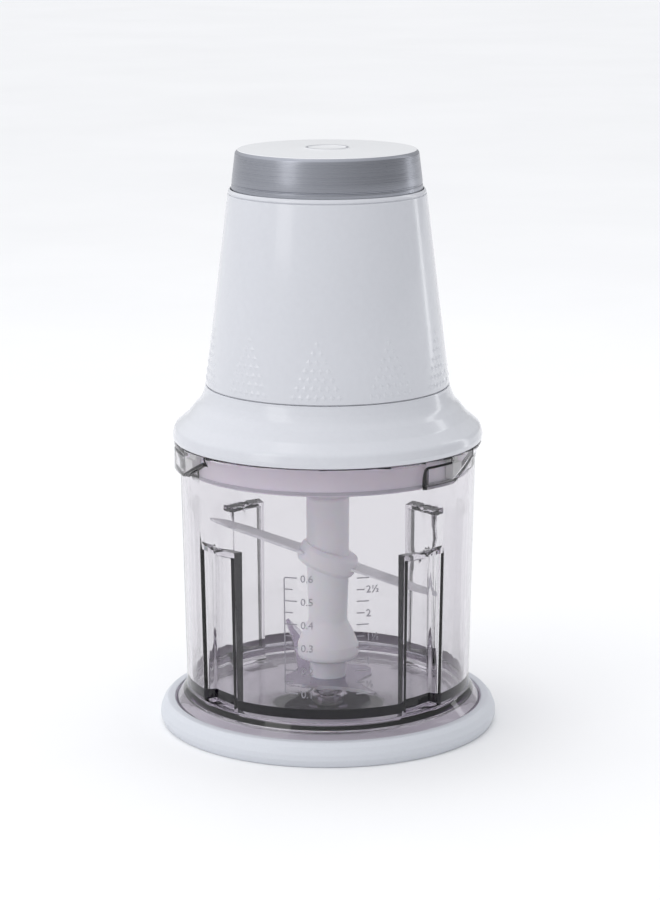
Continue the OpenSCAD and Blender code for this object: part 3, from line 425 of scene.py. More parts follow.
def applyModifiers(piece):
    bpy.context.view_layer.update()
    graph = bpy.context.evaluated_depsgraph_get()
    made = bpy.data.meshes.new_from_object(piece.evaluated_get(graph), depsgraph=graph)
    piece.modifiers.clear()
    piece.data = made


def joinShapes(piece, tool, how, sharp=30):
    step = piece.modifiers.new("shape", "BOOLEAN")
    step.operation, step.solver, step.object = how, "EXACT", tool
    applyModifiers(piece)
    bpy.data.objects.remove(tool)
    piece.data.set_sharp_from_angle(angle=radians(sharp))


def place(piece, body, slot, stands=(), finish=None):
    piece.data.materials.append(materials[finish or slot])
    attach(piece, body)
    if stands:
        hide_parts(*stands)
    return piece


def turnedPiece(name, path, segments=192, sharp=35):
    bm = bmesh.new()
    lathe(bm, path, segments)
    return finishMesh(bm, name, sharp)


base = {"floor": 2.6, "mouthR": 64.7, "footR": 70.4}


def makeBase():
    r, top = key["baseR"], key["baseTop"]
    path = rounded([
        (0, 0), (base["footR"] - 0.6, 0, 0.8), (r, 3.0, 1.8), (r - 0.1, 5.2, 2.2),
        (r - 1.3, 8.2, 1.6), (r - 2.9, top - 0.05, 1.0), (base["mouthR"] + 0.05, top, 0.6),
        (base["mouthR"], base["floor"], 0.3), (0, base["floor"])])
    piece = place(turnedPiece("baseRing", path, 224, 40), "base", "soft_base", ["non_slip_base"])
    # Faces inside the mouth take painted light, a brighter lilac copy of the base colour
    piece.data.materials.append(materials["baseInsidePaintedLight"])
    for face in piece.data.polygons:
        if face.center.xy.length < (base["mouthR"] + 0.02) * mm and face.center.z > 1 * mm:
            face.material_index = 1


skirt = {"lipR": 64.4, "crease": (54.5, 134.9), "seamR": 50.5, "wall": 2.4, "groove": 0.22}


def makeSkirt():
    low, seam = key["headZ"], key["seamZ"]
    lip, t = skirt["lipR"], skirt["wall"]
    creaseR, creaseZ = skirt["crease"]
    top = seam - skirt["groove"]
    outer = [(lip - 0.3, low, 0.25), (lip, low + 1.8, 0.6), (lip - 0.75, low + 5.2, 3.2)]
    outer += [(58.6, 131.0, 6), (creaseR + 0.9, creaseZ + 0.1, 5)]
    outer += [(53.0, 137.4, 8), (51.7, 140.3, 8), (skirt["seamR"] + 0.25, top - 0.9, 3)]
    outer += [(skirt["seamR"] + 0.12, top, 0.25)]
    inner = [(skirt["seamR"] - t, seam - 0.01), (skirt["seamR"] - t, creaseZ + 1),
             (creaseR - t, creaseZ - 2.2), (lip - 4.6, low + 4.2), (lip - t - 0.2, low + 2),
             (lip - t - 0.2, low)]
    tongue = [(skirt["seamR"] - 1.0, top), (skirt["seamR"] - 1.0, seam - 0.01)]
    place(turnedPiece("skirtCover", rounded(outer + tongue + inner, 6), 224, 28), "head", "white_gloss",
          ["skirt_cover"])


housing = {"seamR": 50.5, "shoulderR": 40.8, "shoulderZ": 223.5, "wall": 2.4, "bore": 39.6,
           "deckZ": 212.0, "tongue": 1.0}


def shellR(z):
    share = (z - key["seamZ"]) / (housing["shoulderZ"] - key["seamZ"])
    return housing["seamR"] + (housing["shoulderR"] - housing["seamR"]) * share


def makeHousing():
    seam, lip, top = key["seamZ"], key["lipZ"], housing["shoulderZ"]
    t, groove, bore, deck = housing["wall"], skirt["groove"], housing["bore"], housing["deckZ"]
    foot, neck = housing["seamR"], shellR(top)
    inset = foot - housing["tongue"]
    path = rounded([
        (foot - t, seam + 0.01), (inset, seam + 0.01), (inset, seam + groove),
        (foot - 0.05, seam + groove, 0.3), (shellR(top - 0.3), top - 0.3, 0.25),
        (neck - 0.5, top - 0.15), (neck - 0.5, top + 0.15),
        (neck - 0.05, top + 0.25, 0.3), (neck - 0.25, top + 1.0, 0.8), (bore + 0.35, lip - 0.02, 0.45),
        (bore, lip - 0.3, 0.2), (bore, deck - 1), (shellR(deck - 3) - t, deck - 3)], 5)
    shell = turnedPiece("motorHousing", path, 256, 28)
    place(shell, "head", "white_gloss", ["motor_housing"])
    return shell


vents = {"count": 7, "step": 5, "width": 1.6, "height": 8, "round": 0.75, "depth": 25, "midR": 45.5,
         "rows": [(196.0, 90.0), (148.3, 138.0)]}
gland = {"z": 157.3, "r": 5.5, "midR": 55, "depth": 30}


def cutVents(shell):
    bm = bmesh.new()
    for z, middle in vents["rows"]:
        for i in range(vents["count"]):
            a = radians(middle + (i - (vents["count"] - 1) / 2) * vents["step"])
            centre = Vector((vents["midR"], 0, z + vents["height"] / 2)) * mm
            turn = Matrix.Rotation(a, 4, "Z") @ Matrix.Translation(centre)
            size = Matrix.Diagonal((vents["depth"] * mm, vents["width"] * mm, vents["height"] * mm, 1))
            made = bmesh.ops.create_cube(bm, size=1, matrix=turn @ size)
            back = turn.inverted()
            inward = [e for e in {e for v in made["verts"] for e in v.link_edges}
                      if abs((back @ e.verts[0].co - back @ e.verts[1].co).x) > vents["height"] * 2 * mm]
            bmesh.ops.bevel(bm, geom=inward, offset=vents["round"] * mm, segments=4, affect="EDGES",
                            profile=0.5)
    hole = Matrix.Translation((0, gland["midR"] * mm, gland["z"] * mm)) @ Matrix.Rotation(pi / 2, 4, "X")
    bmesh.ops.create_cone(bm, cap_ends=True, segments=48, radius1=gland["r"] * mm,
                          radius2=gland["r"] * mm, depth=gland["depth"] * mm, matrix=hole)
    joinShapes(shell, finishMesh(bm, "ventCutter"), "DIFFERENCE", 28)


diamonds = {"clusters": 10, "first": -5.0, "rows": 7, "wide": 3.1, "high": 3.5, "lowZ": 147.4, "raise": 0.28}


def hitsOpening(a, z):
    # True where a diamond would cross a vent or sit under the gland
    half = vents["count"] * vents["step"] / 2 + 1
    if (turnFrom(a, 90) * pi / 180 * shellR(z)) ** 2 + (z - gland["z"]) ** 2 < (gland["r"] + 4) ** 2:
        return True
    return any(abs(turnFrom(a, middle)) < half and low - 2.5 < z < low + vents["height"] + 2.5
               for low, middle in vents["rows"])


def makeDiamonds():
    bm = bmesh.new()
    lean = atan((housing["seamR"] - housing["shoulderR"]) / (housing["shoulderZ"] - key["seamZ"]))
    d = diamonds
    for c in range(d["clusters"]):
        middle = -90 + d["first"] + c * 360 / d["clusters"]
        for row in range(d["rows"]):
            z = d["lowZ"] + row * d["high"]
            r = shellR(z)
            for i in range(d["rows"] - row):
                shift = (i - (d["rows"] - row - 1) / 2) * d["wide"]
                a = radians(middle) + shift / r
                if hitsOpening(a * 180 / pi, z):
                    continue
                turn = (Matrix.Rotation(a, 4, "Z") @ Matrix.Translation((r * mm, 0, z * mm))
                        @ Matrix.Rotation(-lean, 4, "Y"))
                w, h, low = d["wide"] * 0.48, d["high"] * 0.96, -0.06
                corners = [(low, -w, 0), (low, 0, -h * 0.5), (low, w, 0), (low, 0, h * 0.5)]
                rim = [bm.verts.new(turn @ (Vector(p) * mm)) for p in corners]
                peak = bm.verts.new(turn @ Vector((d["raise"] * mm, 0, 0)))
                for k in range(4):
                    bm.faces.new((rim[k], rim[(k + 1) % 4], peak))
                bm.faces.new(rim[::-1])
    place(finishMesh(bm, "housingDiamonds", 8), "head", "white_gloss")


cap = {"lowR": 39.2, "lowZ": 221.8, "wall": 1.6, "topR": 37.1, "ringR": 8.4, "ringW": 0.75}


def makeCap():
    top, t = key["capTop"], cap["wall"]
    lowR, lowZ, topR = cap["lowR"], cap["lowZ"], cap["topR"]
    ringR, ringW = cap["ringR"], cap["ringW"]
    side = [(lowR - t, lowZ), (lowR, lowZ, 0.2), (lowR, 226.4, 0.3), (lowR - 0.05, 227.0, 0.2),
            (lowR - 0.38, 227.25, 0.1), (lowR - 0.38, 227.6, 0.1), (lowR - 0.12, 227.9, 0.2),
            (lowR - 0.42, 230.8, 8), (lowR - 0.95, 235.0, 8), (topR + 0.55, 240.0, 1.2)]
    crown = [(topR - 0.6, 241.3, 0.7), (topR - 1.6, top - 0.75, 0.6), (topR * 0.6, top - 0.42, 30)]
    ring = [(ringR + ringW, top - 0.36, 0.1), (ringR + ringW * 0.6, top - 0.02, 0.2),
            (ringR - ringW * 0.6, top - 0.02, 0.2), (ringR - ringW, top - 0.36, 0.1)]
    inside = [(0, top - 0.34), (0, top - t), (topR - t, top - t - 1), (lowR - t - 0.9, 234.7)]
    path = rounded(side + crown + ring + inside, 5)
    piece = place(turnedPiece("topCap", path, 224, 24), "cap", "cap_metal", ["top_cap"])
    piece.data.materials.append(materials["capTop"])
    for face in piece.data.polygons:
        if face.center.z > (top - 1.15) * mm and face.normal.z > 0.3:
            flat = face.center.xy.length / mm
            onRing = abs(flat - ringR) < ringW * 0.62 and face.center.z > (top - 0.1) * mm
            face.material_index = 0 if onRing else 1


bowl = {
    "footR": 64.4, "wallZ": 18.8, "wallR": 59.7, "flareZ": 114.0, "topR": 61.6, "wall": 2.2,
    "ribs": 4, "ribTurn": -139.0, "pocket": 8.7, "bump": 9.5, "pocketR": 55.7, "bumpR": 53.5,
    "pocketLow": 16.6, "pocketTop": 80.5, "bumpTop": 82.7, "edge": 0.5, "softEdge": 1.7,
    "locks": 3, "lockFirst": -50.5, "lockTurn": 13.3, "ramp": 15.0, "lockLow": 111.0, "lockTop": 118.3,
    "lockR": 62.7, "bossR": 64.1, "grow": 1.2, "channelR": 61.1, "channelTurn": 21.0,
    "ribR": 57.0, "notchTurn": 3.14, "notchDeep": 2.4, "notchR": 63.1, "sideLow": 16.3, "sideTop": 100,
    "insideLow": 20.8, "rowStep": 6, "rampEnd": 2.6, "lockAhead": 40, "blend": 25,
}


def wallR(z):
    share = (z - bowl["wallZ"]) / (bowl["flareZ"] - bowl["wallZ"])
    return bowl["wallR"] + (bowl["topR"] - bowl["wallR"]) * share


def eased(t, depth, e=bowl["edge"]):
    # Depth at a distance t outside an edge, with both corners of the step rounded
    if t >= e:
        return 0.0
    if t <= -e:
        return depth
    bend = min(e * 0.8, depth / 2)
    flat = e - bend
    if t > flat:
        return bend - sqrt(max(bend ** 2 - (e - t) ** 2, 0)) if e - t < bend else bend
    if t < -flat:
        return depth - bend + sqrt(max(bend ** 2 - (e + t) ** 2, 0)) if e + t < bend else depth - bend
    return bend + (depth - 2 * bend) * (flat - t) / (2 * flat)


def turnFrom(a, middle):
    return (a - middle + 180) % 360 - 180


def ribEdge(a, z, half, low, top):
    # Distance outside the nearest rib's outline, in mm
    step = 360 / bowl["ribs"]
    off = turnFrom(a, bowl["ribTurn"]) % step
    off = min(off, step - off)
    return max(radians(off - half) * bowl["ribR"], z - top, low - z)


def nearMiddle(a):
    # True on the half of a rib that is nearer the plane x = 0
    step = 360 / bowl["ribs"]
    nearest = bowl["ribTurn"] + round((a - bowl["ribTurn"]) / step) * step
    return abs(cos(radians(a))) < abs(cos(radians(nearest)))


def lockPlace(a):
    # Arc length past the blunt end of the nearest lock pocket
    step = 360 / bowl["locks"]
    off = (a - bowl["lockFirst"] + bowl["lockAhead"]) % step - bowl["lockAhead"]
    return lockRun(off)


def lockRun(turn):
    return radians(turn) * bowl["lockR"]


closedRun = lockRun(bowl["lockTurn"])
rampRun = lockRun(bowl["ramp"])


def rampLow(s):
    rise = (key["rimZ"] - bowl["rampEnd"] - bowl["lockLow"]) / rampRun
    return bowl["lockLow"] + rise * min(max(s - closedRun, 0), rampRun)


def lockEdge(s, z, grow):
    t = max(-s - grow, rampLow(s) - grow - z, s - closedRun - rampRun - grow)
    return max(t, z - bowl["lockTop"] - grow) if s < closedRun else t


def ribReach(a):
    return bowl["edge"] if nearMiddle(a) else bowl["softEdge"]


def outerR(a, z, r):
    if z < bowl["sideTop"]:
        t = ribEdge(a, z, bowl["pocket"], bowl["pocketLow"], bowl["pocketTop"])
        return r - eased(t, r - bowl["pocketR"], ribReach(a))
    return r + eased(lockEdge(lockPlace(a), z, bowl["grow"]), max(bowl["bossR"] - r, 0))


def innerR(a, z, r):
    if z < bowl["sideTop"]:
        t = ribEdge(a, z, bowl["bump"], 0, bowl["bumpTop"])
        return r - eased(t, max(r - bowl["bumpR"], 0), ribReach(a))
    s = lockPlace(a)
    deep = eased(lockEdge(s, z, 0), max(bowl["lockR"] - r, 0))
    run = lockRun(bowl["channelTurn"])
    track = eased(max(-s, s - run, bowl["lockLow"] - z), max(bowl["channelR"] - r, 0))
    beside = lockRun(abs(turnFrom(a, 90)) - bowl["notchTurn"])
    below = key["rimZ"] - bowl["notchDeep"] - z
    notch = eased(max(beside, below), max(bowl["notchR"] - r, 0))
    return r + max(deep, track, notch)


def stepped(low, high, marks, coarse):
    # Heights or angles from low to high, packed closely round each mark (place, reach)
    found = {low, high}
    count = max(int((high - low) / coarse), 1)
    for k in range(count):
        v = low + (high - low) * k / count
        if all(abs(v - m) > e * 1.3 for m, e in marks):
            found.add(v)
    for m, e in marks:
        found |= {m + e * share for share in (-1, -0.75, -0.45, -0.2, 0.2, 0.45, 0.75, 1)
                  if low < m + e * share < high}
    return sorted(found)


def bowlAngles():
    e, notch = bowl["edge"], bowl["notchTurn"]
    marks = []
    for k in range(bowl["ribs"]):
        middle = bowl["ribTurn"] + k * 360 / bowl["ribs"]
        marks += [(middle + s * h, ribReach(middle + s * h))
                  for s in (-1, 1) for h in (bowl["pocket"], bowl["bump"])]
    for k in range(bowl["locks"]):
        first = bowl["lockFirst"] + k * 360 / bowl["locks"]
        grow = bowl["grow"] / lockRun(1)
        end = first + bowl["lockTurn"] + bowl["ramp"]
        flat, channel = first + bowl["lockTurn"], first + bowl["channelTurn"]
        marks += [(m, e) for m in (first, first - grow, flat, channel, end, end + grow)]
    marks = sorted({(round(m % 360, 4), reach) for m, reach in marks} | {(90 - notch, e), (90 + notch, e)})
    found = stepped(0, 360, marks, 2.0)
    return [a for i, a in enumerate(found[:-1]) if found[i + 1] - a > 0.02]


def topRows(low, grow, count):
    # Rows above the straight wall follow the lower and upper lines of the lock pockets
    e = bowl["edge"]
    packs = [-e, -e * 0.5, -e * 0.2, e * 0.2, e * 0.5, e]

    def row(kind, k):
        def height(a):
            s = lockPlace(a)
            past = min(max((s - closedRun - rampRun - 3) / bowl["blend"], 0), 1)
            foot = rampLow(s) + (bowl["lockLow"] - rampLow(s)) * past - grow
            before = min(max((-s - 5) / bowl["blend"], 0), 1) if s < closedRun else 1
            head = bowl["lockTop"] + grow + (key["rimZ"] - 0.6 - bowl["lockTop"] - grow) * before
            head = max(head, foot + 1.3)
            if kind == "below":
                return low + (min(bowl["lockLow"] - e, foot - e - 0.35) - low) * k / count
            if kind == "track":
                return min(bowl["lockLow"] + packs[k], foot - e - 0.05 * (6 - k))
            if kind == "foot":
                return foot + packs[k]
            if kind == "between":
                return foot + e + (head - e - foot - e) * k / 4
            return min(head + packs[k] * (0.4 if s >= closedRun else 1), key["rimZ"] - 0.02 * (6 - k))
        return height
    rows = [row("below", k) for k in range(1, count)]
    rows += [row("track", k) for k in range(6)] + [row("foot", k) for k in range(6)]
    return rows + [row("between", k) for k in range(1, 4)] + [row("head", k) for k in range(6)]


def flaredOut(z):
    # Radius of the outside from the straight wall up to the rim
    rim = key["rimZ"]
    points = [(bowl["flareZ"], bowl["topR"]), (rim - 3.2, 62.6), (rim - 1.2, 64.0), (rim, 64.0)]
    return between(points, z) if z > bowl["flareZ"] else wallR(z)


def flaredIn(z):
    rim = key["rimZ"]
    points = [(bowl["flareZ"], bowl["topR"] - bowl["wall"]), (rim - 3, 60.6), (rim, 61.9)]
    return between(points, z) if z > bowl["flareZ"] else wallR(z) - bowl["wall"]


def between(points, z):
    for (z0, r0), (z1, r1) in zip(points, points[1:]):
        if z <= z1:
            return r0 + (r1 - r0) * max(z - z0, 0) / (z1 - z0)
    return points[-1][1]


def footPath():
    # Under the floor and round the foot, the same at every angle
    b = bowl
    under = [(3.06, 12.2, 0.2), (3.06, 5.6, 0.2), (8, 5.6, 0.6), (8, 9, 0.6), (53.5, 9, 4), (56.8, 10.2, 2)]
    foot = [(58.8, 12.2, 1.5), (62.2, 8.4, 0.8), (62.2, 3.0, 0.4), (b["footR"], 3.0, 0.5),
            (b["footR"], 9.3, 1.2), (60.1, 15.2, 1.6), (59.62, 16.0), (59.64, 16.2)]
    return rounded(under + foot, 4)[1:]


floorFillet = [(57.5, 18.2), (57.35, 16.6), (56.9, 14.6), (56.1, 13.0), (54.8, 11.8), (53.0, 11.2),
               (50.5, 11.0)]
floorMiddle = [(30, 11.0), (6.6, 11.0), (5.9, 11.2), (5.5, 12.0), (5.1, 12.2), (3.3, 12.2)]


def bowlColumn(a, foot, sideRows, outRows, inRows, innerSide):
    # The outline at one angle: up the outside, over the rim and down to the floor
    rim = key["rimZ"]
    column = foot + [(outerR(a, z, wallR(z)), z) for z in sideRows]
    column += [(outerR(a, z, flaredOut(z)), z) for z in (f(a) for f in outRows)]
    tipOut, tipIn = outerR(a, rim, flaredOut(rim)), innerR(a, rim, flaredIn(rim))
    column += [(tipOut - 0.15, rim - 0.05), (tipOut - 0.45, rim)]
    column += [(tipIn + 0.4, rim), (tipIn + 0.1, rim - 0.06)]
    column += [(innerR(a, z, flaredIn(z)), z) for z in (f(a) for f in reversed(inRows))]
    column += [(innerR(a, z, wallR(z) - bowl["wall"]), z) for z in reversed(innerSide)]
    outR, inR = floorFillet[0][0], floorFillet[-1][0]
    shift = innerR(a, 30, outR) - outR
    column += [(r + shift * max((r - inR) / (outR - inR), 0), z) for r, z in floorFillet]
    return column + floorMiddle


def edgeFinish(face, k, footRows, wallRows, lipRows, middleTurn):
    # Slot of a face in the bowl: 0 clear wall, 1 edge seen from inside, 2 rib side near the middle; slots 1
    # and 2 take painted shade
    middle = face.calc_center_median() / mm
    face.normal_update()
    out = abs(face.normal.dot(Vector((middle.x, middle.y, 0)).normalized()))
    pocket = footRows <= k < wallRows and out < 0.8
    bump = k > lipRows and out < 0.75 and 19 < middle.z < bowl["bumpTop"]
    if (pocket or bump) and abs(face.normal.z) < 0.4 and nearMiddle(middleTurn):
        return 2
    lock = wallRows <= k < lipRows and out < 0.6 and middle.z < key["rimZ"] - 0.5
    corner = k > lipRows and bowl["sideLow"] + 0.1 < middle.z < bowl["insideLow"] + 0.1
    ceiling = pocket and face.normal.z < -0.4
    return 1 if lock or corner or ceiling else 0


def makeBowl():
    b = bowl
    angles, foot = bowlAngles(), footPath()
    pocketEnds = [(b["pocketLow"] + 0.3, b["edge"]), (b["pocketTop"], b["edge"])]
    sideRows = stepped(b["sideLow"], b["sideTop"], pocketEnds, b["rowStep"])
    innerSide = stepped(b["insideLow"], b["sideTop"], [(b["bumpTop"], b["softEdge"])], b["rowStep"])
    outRows, inRows = topRows(b["sideTop"], b["grow"], 3), topRows(b["sideTop"], 0, 3)
    bm = bmesh.new()
    grid = []
    for a in angles:
        x, y = cos(radians(a)) * mm, sin(radians(a)) * mm
        column = bowlColumn(a, foot, sideRows, outRows, inRows, innerSide)
        grid.append([bm.verts.new((r * x, r * y, z * mm)) for r, z in column])
    rows = len(grid[0])
    wallRows = len(foot) + len(sideRows)
    lipRows = wallRows + len(outRows) + len(inRows) + 3
    for i, beside in enumerate(grid):
        here, middleTurn = grid[i - 1], (angles[i] + angles[i - 1]) / 2
        for k in range(rows):
            up = (k + 1) % rows
            face = bm.faces.new((here[k], beside[k], beside[up], here[up]))
            face.material_index = edgeFinish(face, k, len(foot), wallRows, lipRows, middleTurn)
    bmesh.ops.dissolve_degenerate(bm, dist=0.002 * mm, edges=bm.edges)
    piece = place(finishMesh(bm, "clearBowl", 50), "bowl", "clear_bowl", ["bowl"])
    # Rib sides and edges of the bowl take painted shade
    piece.data.materials.append(materials["clearEdgePaintedShade"])
    piece.data.materials.append(materials["clearSidePaintedShade"])
    print("bowl columns:", len(angles), "rows:", rows)


marks = {"low": 27.5, "step": 4.85, "count": 11, "long": 5.2, "short": 3.4, "line": 0.42, "raise": 0.35,
         "root": -0.1, "left": -16.6, "right": 10.8, "figure": 4.3, "figureDrop": 1.5, "arcR": 60.5,
         "litres": ["0.1", "0.2", "0.3", "0.4", "0.5", "0.6"], "litreTurn": -10.4,
         "cups": ["\u00bd", "1", "1\u00bd", "2", "2\u00bd"], "cupTurn": 14.6, "cupRise": 4.0,
         "cupShare": 2.06}


def onWall(turn, along, z, out):
    # A point on the outside, turned from the front in degrees and moved along in mm
    r = flaredOut(z) + out
    a = radians(turn - 90) + along / marks["arcR"]
    return Vector((r * cos(a), r * sin(a), z)) * mm


def wallBar(bm, turn, x0, x1, z0, z1):
    # A raised bar that follows the wall, with a chamfered edge
    top, root, edge = marks["raise"], marks["root"], 0.1
    section = [(z0, root), (z0, top - edge), (z0 + edge, top), (z1 - edge, top), (z1, top - edge), (z1, root)]
    count = max(int((x1 - x0) / 0.9), 1)
    places = [x0 + (x1 - x0) * k / count for k in range(count + 1)]
    capped(bm, [[bm.verts.new(onWall(turn, x, z, out)) for z, out in section] for x in places])


def figureMesh(bm, text, turn, z):
    # Numbers of the scale, made with the built-in font and bent round the wall
    curve = bpy.data.curves.new("figure", "FONT")
    curve.body = text
    curve.size = marks["figure"]
    curve.extrude = 0.5
    curve.resolution_u = 3
    holder = bpy.data.objects.new("figure", curve)
    scene.collection.objects.link(holder)
    bpy.context.view_layer.update()
    graph = bpy.context.evaluated_depsgraph_get()
    flat = bpy.data.meshes.new_from_object(holder.evaluated_get(graph), depsgraph=graph)
    bpy.data.objects.remove(holder)
    lookup = []
    for v in flat.vertices:
        out = marks["raise"] if v.co.z > 0 else marks["root"]
        lookup.append(bm.verts.new(onWall(turn, v.co.x, z + v.co.y - marks["figureDrop"], out)))
    for face in flat.polygons:
        corners = [lookup[i] for i in face.vertices]
        if len(set(corners)) == len(corners) and bm.faces.get(corners) is None:
            bm.faces.new(corners)
    bpy.data.meshes.remove(flat)


def makeMarks():
    bm = bmesh.new()
    m = marks
    parts = 8
    share = (m["count"] - 1) * m["step"] / parts
    for k in range(parts):
        z = m["low"] + k * share
        wallBar(bm, m["left"], -m["line"] / 2, m["line"] / 2, z, z + share)
    for turn in (m["left"], m["right"]):
        for k in range(m["count"]):
            z = m["low"] + k * m["step"]
            wallBar(bm, turn, m["line"] / 2, m["short"] if k % 2 else m["long"], z, z + m["line"])
    for k, text in enumerate(m["litres"]):
        figureMesh(bm, text, m["litreTurn"], m["low"] + k * m["step"] * 2)
    for k, text in enumerate(m["cups"]):
        figureMesh(bm, text, m["cupTurn"], m["low"] + m["cupRise"] + k * m["step"] * m["cupShare"])
    place(finishMesh(bm, "volumeMarks", 30), "bowl", "clear_bowl", finish="markedPlastic")


hub = {"collarR": 12.6, "collarH": 8.5, "collarZ": 69.3, "tilt": 19.9, "neckR": 6.7, "r": 9.0, "bellR": 13.0,
       "bellZ": 27.0, "bore": 4.5, "boreLow": 40, "boreTop": 88.2, "shoulderZ": 96.2, "socketR": 4.8,
       "socketZ": 107.0, "jawIn": 2.9, "jawTurns": (90, 270), "jawSweep": 38, "jawHigh": 8}


def collarSeat():
    # The place and the tilt of the collar, which the upper blade shares
    return Matrix.Translation((0, 0, hub["collarZ"] * mm)) @ Matrix.Rotation(radians(hub["tilt"]), 4, "Y")


def makeHub():
    low, top, r = key["hubLow"], key["hubTop"], hub["r"]
    bell, z = hub["bellR"], hub["bellZ"]
    bore, neck, socket, shoulder = hub["bore"], hub["neckR"], hub["socketR"], hub["shoulderZ"]
    skirtLine = [(bore, low), (r - 1.7, low, 0.6), (r - 1.3, z - 1.2, 0.6), (r + 1.8, z - 1.0, 0.4)]
    bellLine = [(bell - 0.5, z, 0.5), (bell, z + 1.4, 0.6), (bell - 0.2, z + 5.4, 2.5),
                (r + 1.8, z + 10.2, 4), (r - 0.8, z + 15.5, 5), (r - 0.8, z + 19, 4)]
    tubeLine = [(r - 0.1, hub["collarZ"] - 4, 6), (r, shoulder - 3.9, 0), (r, shoulder, 4.2),
                (neck, shoulder, 0.6), (neck, top, 0.6)]
    socketLine = [(socket, top, 0.5), (socket, hub["socketZ"], 0.3), (0, hub["socketZ"]),
                  (0, hub["boreTop"]), (bore, hub["boreTop"], 0.3)]
    tube = turnedPiece("bladeHub", rounded(skirtLine + bellLine + tubeLine + socketLine, 5), 128, 30)
    bm = bmesh.new()
    half, wide = hub["collarH"] / 2, hub["collarR"]
    ring = rounded([(0, -half), (wide - 0.8, -half, 0.8), (wide, -half + 1.6, 0.8), (wide, half - 1.6, 0.8),
                    (wide - 0.8, half, 0.8), (0, half)], 5)
    lathe(bm, ring, 128)
    bmesh.ops.transform(bm, matrix=collarSeat(), verts=bm.verts)
    collar = finishMesh(bm, "collarShape")
    joinShapes(tube, collar, "UNION")
    # The collar closes the bore, so the bore is cut again
    bm = bmesh.new()
    middle = Matrix.Translation((0, 0, (hub["boreTop"] + hub["boreLow"]) / 2 * mm))
    bmesh.ops.create_cone(bm, cap_ends=True, segments=96, radius1=bore * mm, radius2=bore * mm,
                          depth=(hub["boreTop"] - hub["boreLow"]) * mm, matrix=middle)
    joinShapes(tube, finishMesh(bm, "boreShape"), "DIFFERENCE")
    bm = bmesh.new()
    for turn in hub["jawTurns"]:
        blockAt(bm, turn, hub["jawIn"], socket + 0.3, hub["jawSweep"], hub["socketZ"] - 0.2,
                hub["socketZ"] + hub["jawHigh"])
    joinShapes(tube, finishMesh(bm, "jawShape"), "UNION")
    place(tube, "blades", "hub_plastic", ["blade_hub"])


def blockAt(bm, turn, r0, r1, sweep, z0, z1, count=10):
    # A block bent round the axis
    section = [(r0, z0), (r1, z0), (r1, z1), (r0, z1)]
    loops = []
    for k in range(count + 1):
        a = radians(turn - sweep / 2 + sweep * k / count)
        x, y = cos(a) * mm, sin(a) * mm
        loops.append([bm.verts.new((r * x, r * y, z * mm)) for r, z in section])
    capped(bm, loops)


blades = {"thick": 1.2, "ground": 3.2, "keen": 0.15, "root": 6.4, "wide": 7, "upperTip": 50.0,
          "lowerTip": 48.0, "lowerZ": 17.0, "lowerTurn": -66.0, "bendR": 14.0, "frontBend": 9.0,
          "backBend": 23.0, "hole": 5.9, "holeSides": 24}


def groundBlade(bm, points, matrix, keen):
    # points is a closed outline, keen the indices of its ground edge; an inset line starts the grind
    half, thin = blades["thick"] / 2, blades["keen"] / 2
    count = len(points)
    flat = []
    for i, p in enumerate(points):
        here = Vector(p)
        if i in keen:
            u = (Vector(points[(i + 1) % count]) - here)
            v = (here - Vector(points[i - 1]))
            along = (u.normalized() + v.normalized()).normalized()
            side = Vector((-along.y, along.x))
            here = here + side * blades["ground"] * (0.75 if i in (min(keen), max(keen)) else 1)
        flat.append(here)

    def lift(p, z):
        return bm.verts.new(matrix @ (Vector((p[0], p[1], z)) * mm))
    upper = [lift(p, half) for p in flat]
    lower = [lift(p, -half) for p in flat]
    edgeTop = [lift(p, thin) if i in keen else upper[i] for i, p in enumerate(points)]
    edgeLow = [lift(p, -thin) if i in keen else lower[i] for i, p in enumerate(points)]
    bm.faces.new(upper)
    bm.faces.new(lower[::-1])
    groundWalls(bm, [upper, edgeTop, edgeLow, lower])


def groundWalls(bm, loops):
    # From the upper flat down the grind, over the keen edge and back to the lower flat
    for above, below in zip(loops, loops[1:]):
        band(bm, above, below)


def makeUpperBlade():
    # One bar through the collar, tilted with it; both ends are the same shape turned by half a turn
    root, wide = blades["root"], blades["wide"]
    reach = blades["upperTip"] / cos(radians(hub["tilt"]))
    outline = [(root, -wide), (reach - 18, -wide), (reach - 7, -4), (reach - 0.5, 2.4), (reach - 1.5, 4.4),
               (reach - 12, 6.4), (14, wide), (root, wide)]
    bm = bmesh.new()
    seat = collarSeat()
    for turn in (0, 180):
        groundBlade(bm, outline, seat @ Matrix.Rotation(radians(turn), 4, "Z"), {1, 2, 3})
    place(finishMesh(bm, "upperBlade", 12), "blades", "blade_steel", ["upper_blade"])


def lowerOutline():
    # Half of the sickle, and the same half turned by half a turn
    bend, run = blades["bendR"], blades["lowerTip"] - blades["bendR"]
    arm = [(bend, -13.6), (bend + run * 0.26, -7.8), (bend + run * 0.5, -5.0), (bend + run * 0.78, -3.0),
           (bend + run - 0.3, -0.6), (bend + run - 1.3, 1.0), (bend + run * 0.5, 3.4), (bend, 7.8)]
    heel = [(9, 12.8), (6.4, 17.4), (0, 20.2), (-6, 20.2)]
    half = arm + heel
    return half + [(-x, -y) for x, y in half], len(half), len(arm) - 1


def bentUp(x, y, z):
    # Each arm turns up past its bend line, by its own angle
    for sign, angle in ((1, blades["frontBend"]), (-1, blades["backBend"])):
        past = sign * x - blades["bendR"]
        if past > 0:
            c, s = cos(radians(angle)), sin(radians(angle))
            x, z = sign * (blades["bendR"] + past * c - z * s), past * s + z * c
    return Vector((x, y, z))


